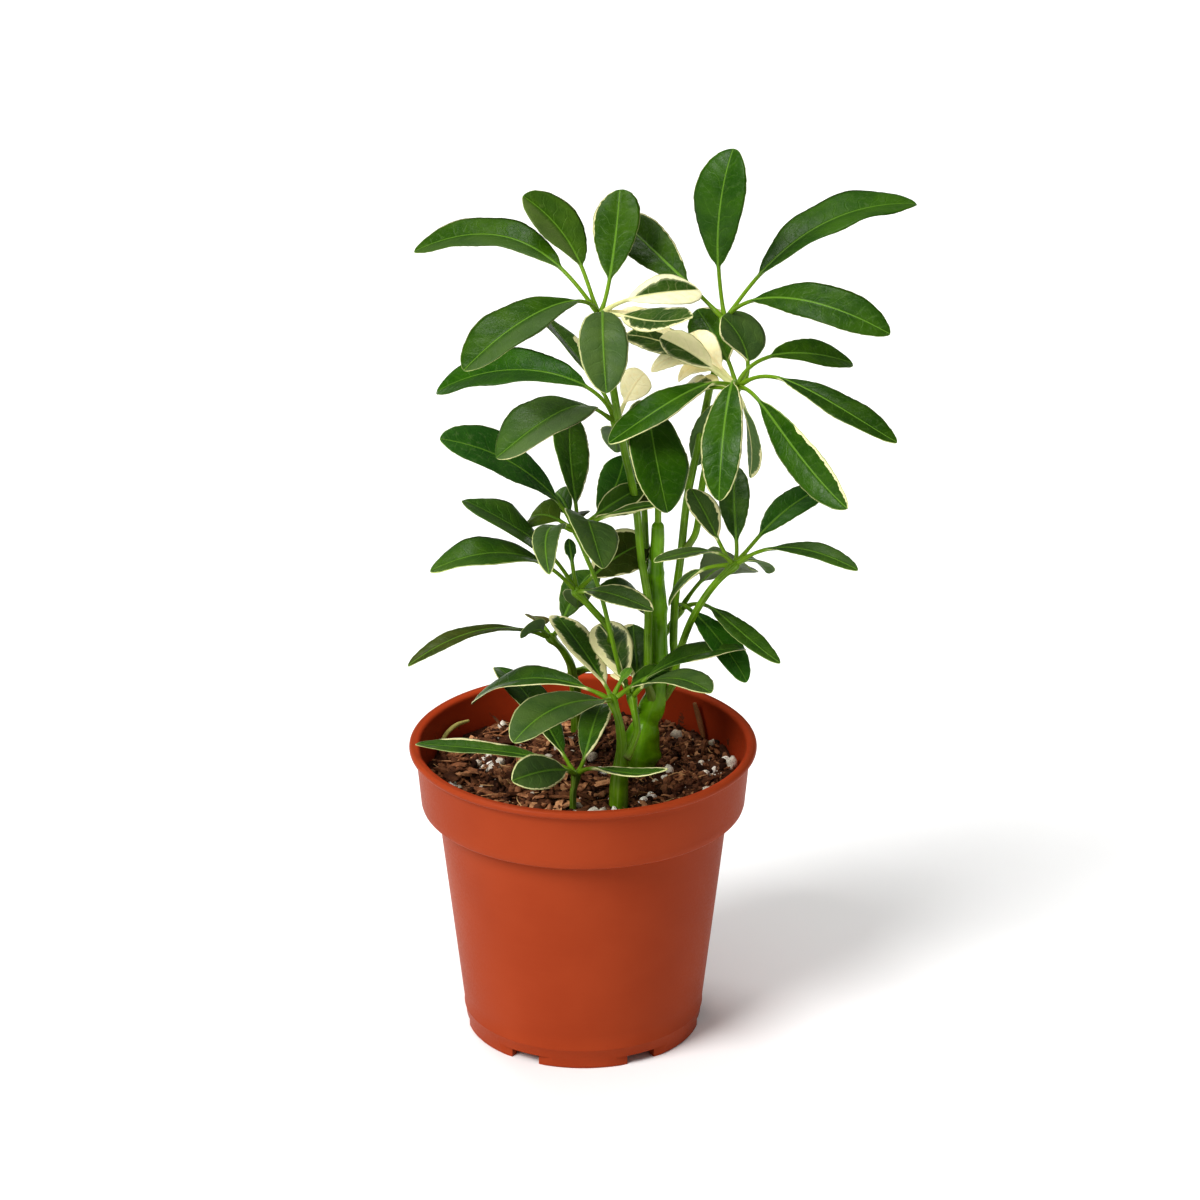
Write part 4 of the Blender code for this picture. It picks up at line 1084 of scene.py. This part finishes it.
def strew(name, kind, maker, material, tilt, rise, where=None, smooth=True, seed=1):
    # places many small bodies on the bed and joins them into one piece
    chance = random.Random(seed)
    places, faces, tints = [], [], []
    made = 0
    while made < kind["count"]:
        r, a = mixShape["reach"] * math.sqrt(chance.random()) * 0.975, chance.uniform(0, 2 * math.pi)
        x, y = r * math.cos(a), r * math.sin(a)
        if where is not None and chance.random() > where(x, y):
            continue
        size = chance.uniform(*kind["size"]) if chance.random() < 0.7 else chance.uniform(kind["size"][0], sum(kind["size"]) / 2)
        body, skin = maker(chance, size)
        extent = max(math.hypot(p[0], p[1]) for p in body)
        if r + extent > mixShape["reach"] + 0.3:
            continue
        turn = Matrix.Rotation(chance.uniform(0, 2 * math.pi), 3, "Z")
        turn = turn @ Matrix.Rotation(chance.uniform(-tilt, tilt), 3, "Y") @ Matrix.Rotation(
            chance.uniform(-tilt, tilt), 3, "X")
        spot = Vector((x, y, bedHeight(x, y) + rise * size * chance.uniform(0.2, 1.0)))
        first = len(places)
        places += [tuple(turn @ Vector(p) + spot) for p in body]
        faces += [tuple(i + first for i in face) for face in skin]
        tints += [chance.random()] * len(body)
        made += 1
    mesh = outwards(newMesh(name, places, faces, {"tint": tints}, smooth=smooth))
    return newPiece(name, mesh, material)


def mixPattern():
    tree, given, result = newGroup("mixPattern", {"Grain": 0.5, "Pits": 0.0, "Gloss": 0.75}, {
        "Dark": (0.026, 0.010, 0.006), "Middle": (0.118, 0.048, 0.024), "Light": (0.33, 0.155, 0.078)},
        ("Colour", "Roughness", "Height"))
    body = addNode(tree, "ShaderNodeTexCoord").outputs["Object"]
    tint = attribute(tree, "tint")
    coarse = noiseAt(tree, body, 420.0, 4.0, 0.65)
    fine = noiseAt(tree, body, 1800.0, 3.0, 0.6)
    amount = calc(tree, "ADD", calc(tree, "MULTIPLY", tint, 0.9), calc(tree, "MULTIPLY", calc(
        tree, "SUBTRACT", coarse, 0.5), given["Grain"]))
    colour = blendColour(tree, ramp(tree, amount, 0.0, 0.55), given["Dark"], given["Middle"])
    colour = blendColour(tree, ramp(tree, amount, 0.55, 1.0), colour, given["Light"])
    lighter = blendColour(tree, 1.0, colour, (1.7, 1.6, 1.5, 1), "MULTIPLY")
    colour = blendColour(tree, ramp(tree, fine, 0.45, 0.72, 0.0, 0.6), colour, lighter)
    cells = addNode(tree, "ShaderNodeTexVoronoi", {"Vector": body, "Scale": 1500.0})
    pits = calc(tree, "MULTIPLY", ramp(tree, cells.outputs["Distance"], 0.30, 0.16), given["Pits"])
    colour = blendColour(tree, pits, colour, (0.10, 0.07, 0.05, 1))
    tree.links.new(colour, result.inputs["Colour"])
    tree.links.new(calc(tree, "ADD", given["Gloss"], ramp(tree, fine, 0.3, 0.7, -0.1, 0.12)),
                   result.inputs["Roughness"])
    tree.links.new(calc(tree, "ADD", coarse, calc(tree, "MULTIPLY", fine, 0.6)), result.inputs["Height"])
    return tree


def makeMix():
    group = mixPattern()
    dull = {"Specular_IOR_Level": 0.12}
    soil = newMaterial("mix soil", group, {}, 0.6, 0.9, **dull)
    bark = newMaterial("mix bark", group, {"Dark": (0.06, 0.023, 0.011), "Middle": (0.23, 0.098, 0.046),
                                           "Light": (0.58, 0.31, 0.16), "Grain": 0.8}, 0.4, 0.8, **dull)
    straw = newMaterial("mix fibre", group, {"Dark": (0.10, 0.040, 0.018), "Middle": (0.28, 0.125, 0.055),
                                             "Light": (0.60, 0.38, 0.19)}, 0.15, 0.5, **dull)
    white = newMaterial("mix perlite", group, {"Dark": (0.50, 0.43, 0.35), "Middle": (0.74, 0.69, 0.60),
                                               "Light": (0.93, 0.91, 0.85), "Grain": 0.9, "Pits": 0.8}, 0.5, 1.0,
                        **dull)
    pale = newMaterial("mix root", group, {"Dark": (0.22, 0.20, 0.06), "Middle": (0.42, 0.38, 0.13),
                                           "Light": (0.60, 0.55, 0.24)}, 0.2, 0.5, **dull)
    makeBed(soil)

    def leftwards(x, y):
        return 0.95 if x < 4 else 0.3

    def clustered(x, y):
        return 0.07 + sum(math.exp(-((x - a) ** 2 + (y - b) ** 2) / 14) for a, b in scatter["clusters"])

    s = scatter
    strew("mix_crumbs", s["crumbs"], lambda c, size: lump(c, size, s["crumbs"]["flat"]), soil, 1.5, 0.3, seed=11)
    strew("bark_chips", s["bark"], lambda c, size: chip(c, size, c.uniform(*s["bark"]["width"]),
                                                         c.uniform(*s["bark"]["thick"])),
          bark, 0.45, 0.12, leftwards, smooth=False, seed=12)
    strew("bark_fibres", s["fibres"], lambda c, size: fibre(c, size, c.uniform(*s["fibres"]["width"])), straw,
          0.35, 0.10, seed=13)
    strew("perlite", s["perlite"], lambda c, size: lump(c, size, 0.9), white, 1.5, 0.6, clustered, seed=14)
    strew("perlite_dust", s["dust"], lambda c, size: lump(c, size, 0.9), white, 1.5, 1.2, clustered, seed=15)
    for name, material in (("root", pale), ("twig", straw)):
        path = spline(s[name]["path"], 0.6)
        share = np.linspace(0, 1, len(path))
        radii = s[name]["radius"] * (0.35 + 0.65 * np.sin(math.pi * (0.15 + 0.7 * share)))
        mesh = sweep(name, path, radii, 12)
        mesh.attributes.new("tint", "FLOAT", "POINT").data.foreach_set("value", [0.6] * len(mesh.vertices))
        newPiece("mix_" + name, mesh, material)


makeMix()
print("potting mix made")


# floor, light and camera

studio = {
    "floor": (0.96, 0.96, 0.955), "floorHalf": 60000, "sky": 0.11,
    "lamps": (        # name, direction it comes from, how wide it looks in degrees, strength
        ("key", (-0.66, -0.58, 0.80), 30, 2.75), ("fill", (0.85, -0.75, 0.45), 60, 0.30),
        ("top", (-0.25, 0.45, 1.0), 22, 0.75), ("over", (0.1, -0.1, 1.0), 50, 0.8)),
}


def makeStage():
    w = studio["floorHalf"]
    floor = newMesh("floor", [(-w, -w, 0), (w, -w, 0), (w, w, 0), (-w, w, 0)], [(0, 1, 2, 3)])
    paper = bpy.data.materials.new("paper")
    paper.use_nodes = True
    shader = paper.node_tree.nodes["Principled BSDF"]
    shader.inputs["Base Color"].default_value = (*studio["floor"], 1)
    shader.inputs["Roughness"].default_value = 0.9
    floor.materials.append(paper)
    ground = bpy.data.objects.new("floor", floor)
    bpy.context.scene.collection.objects.link(ground)
    world = bpy.data.worlds.new("soft sky")
    world.use_nodes = True
    world.node_tree.nodes["Background"].inputs["Color"].default_value = (1, 1, 1, 1)
    world.node_tree.nodes["Background"].inputs["Strength"].default_value = studio["sky"]
    bpy.context.scene.world = world
    for name, place, width, power in studio["lamps"]:
        lamp = bpy.data.lights.new(name, "SUN")
        lamp.angle, lamp.energy = math.radians(width), power
        holder = bpy.data.objects.new(name, lamp)
        holder.location = place
        holder.visible_glossy = name in ("key", "top")        # these two show in the gloss
        holder.rotation_euler = Vector(place).to_track_quat("Z", "Y").to_euler()
        bpy.context.scene.collection.objects.link(holder)
    bpy.context.scene.view_settings.view_transform = "Standard"
    bpy.context.scene.view_settings.look = "Medium High Contrast"


def makeCamera():
    lens = bpy.data.cameras.new("camera")
    lens.sensor_width, lens.lens = 36, 144.87
    camera = bpy.data.objects.new("camera", lens)
    camera.location = (0.00527, -1.3698, 0.7067)
    camera.rotation_euler = (math.radians(67.615), 0, 0)
    bpy.context.scene.collection.objects.link(camera)
    bpy.context.scene.camera = camera


makeStage()
makeCamera()
print("stage set")

bpy.context.view_layer.update()
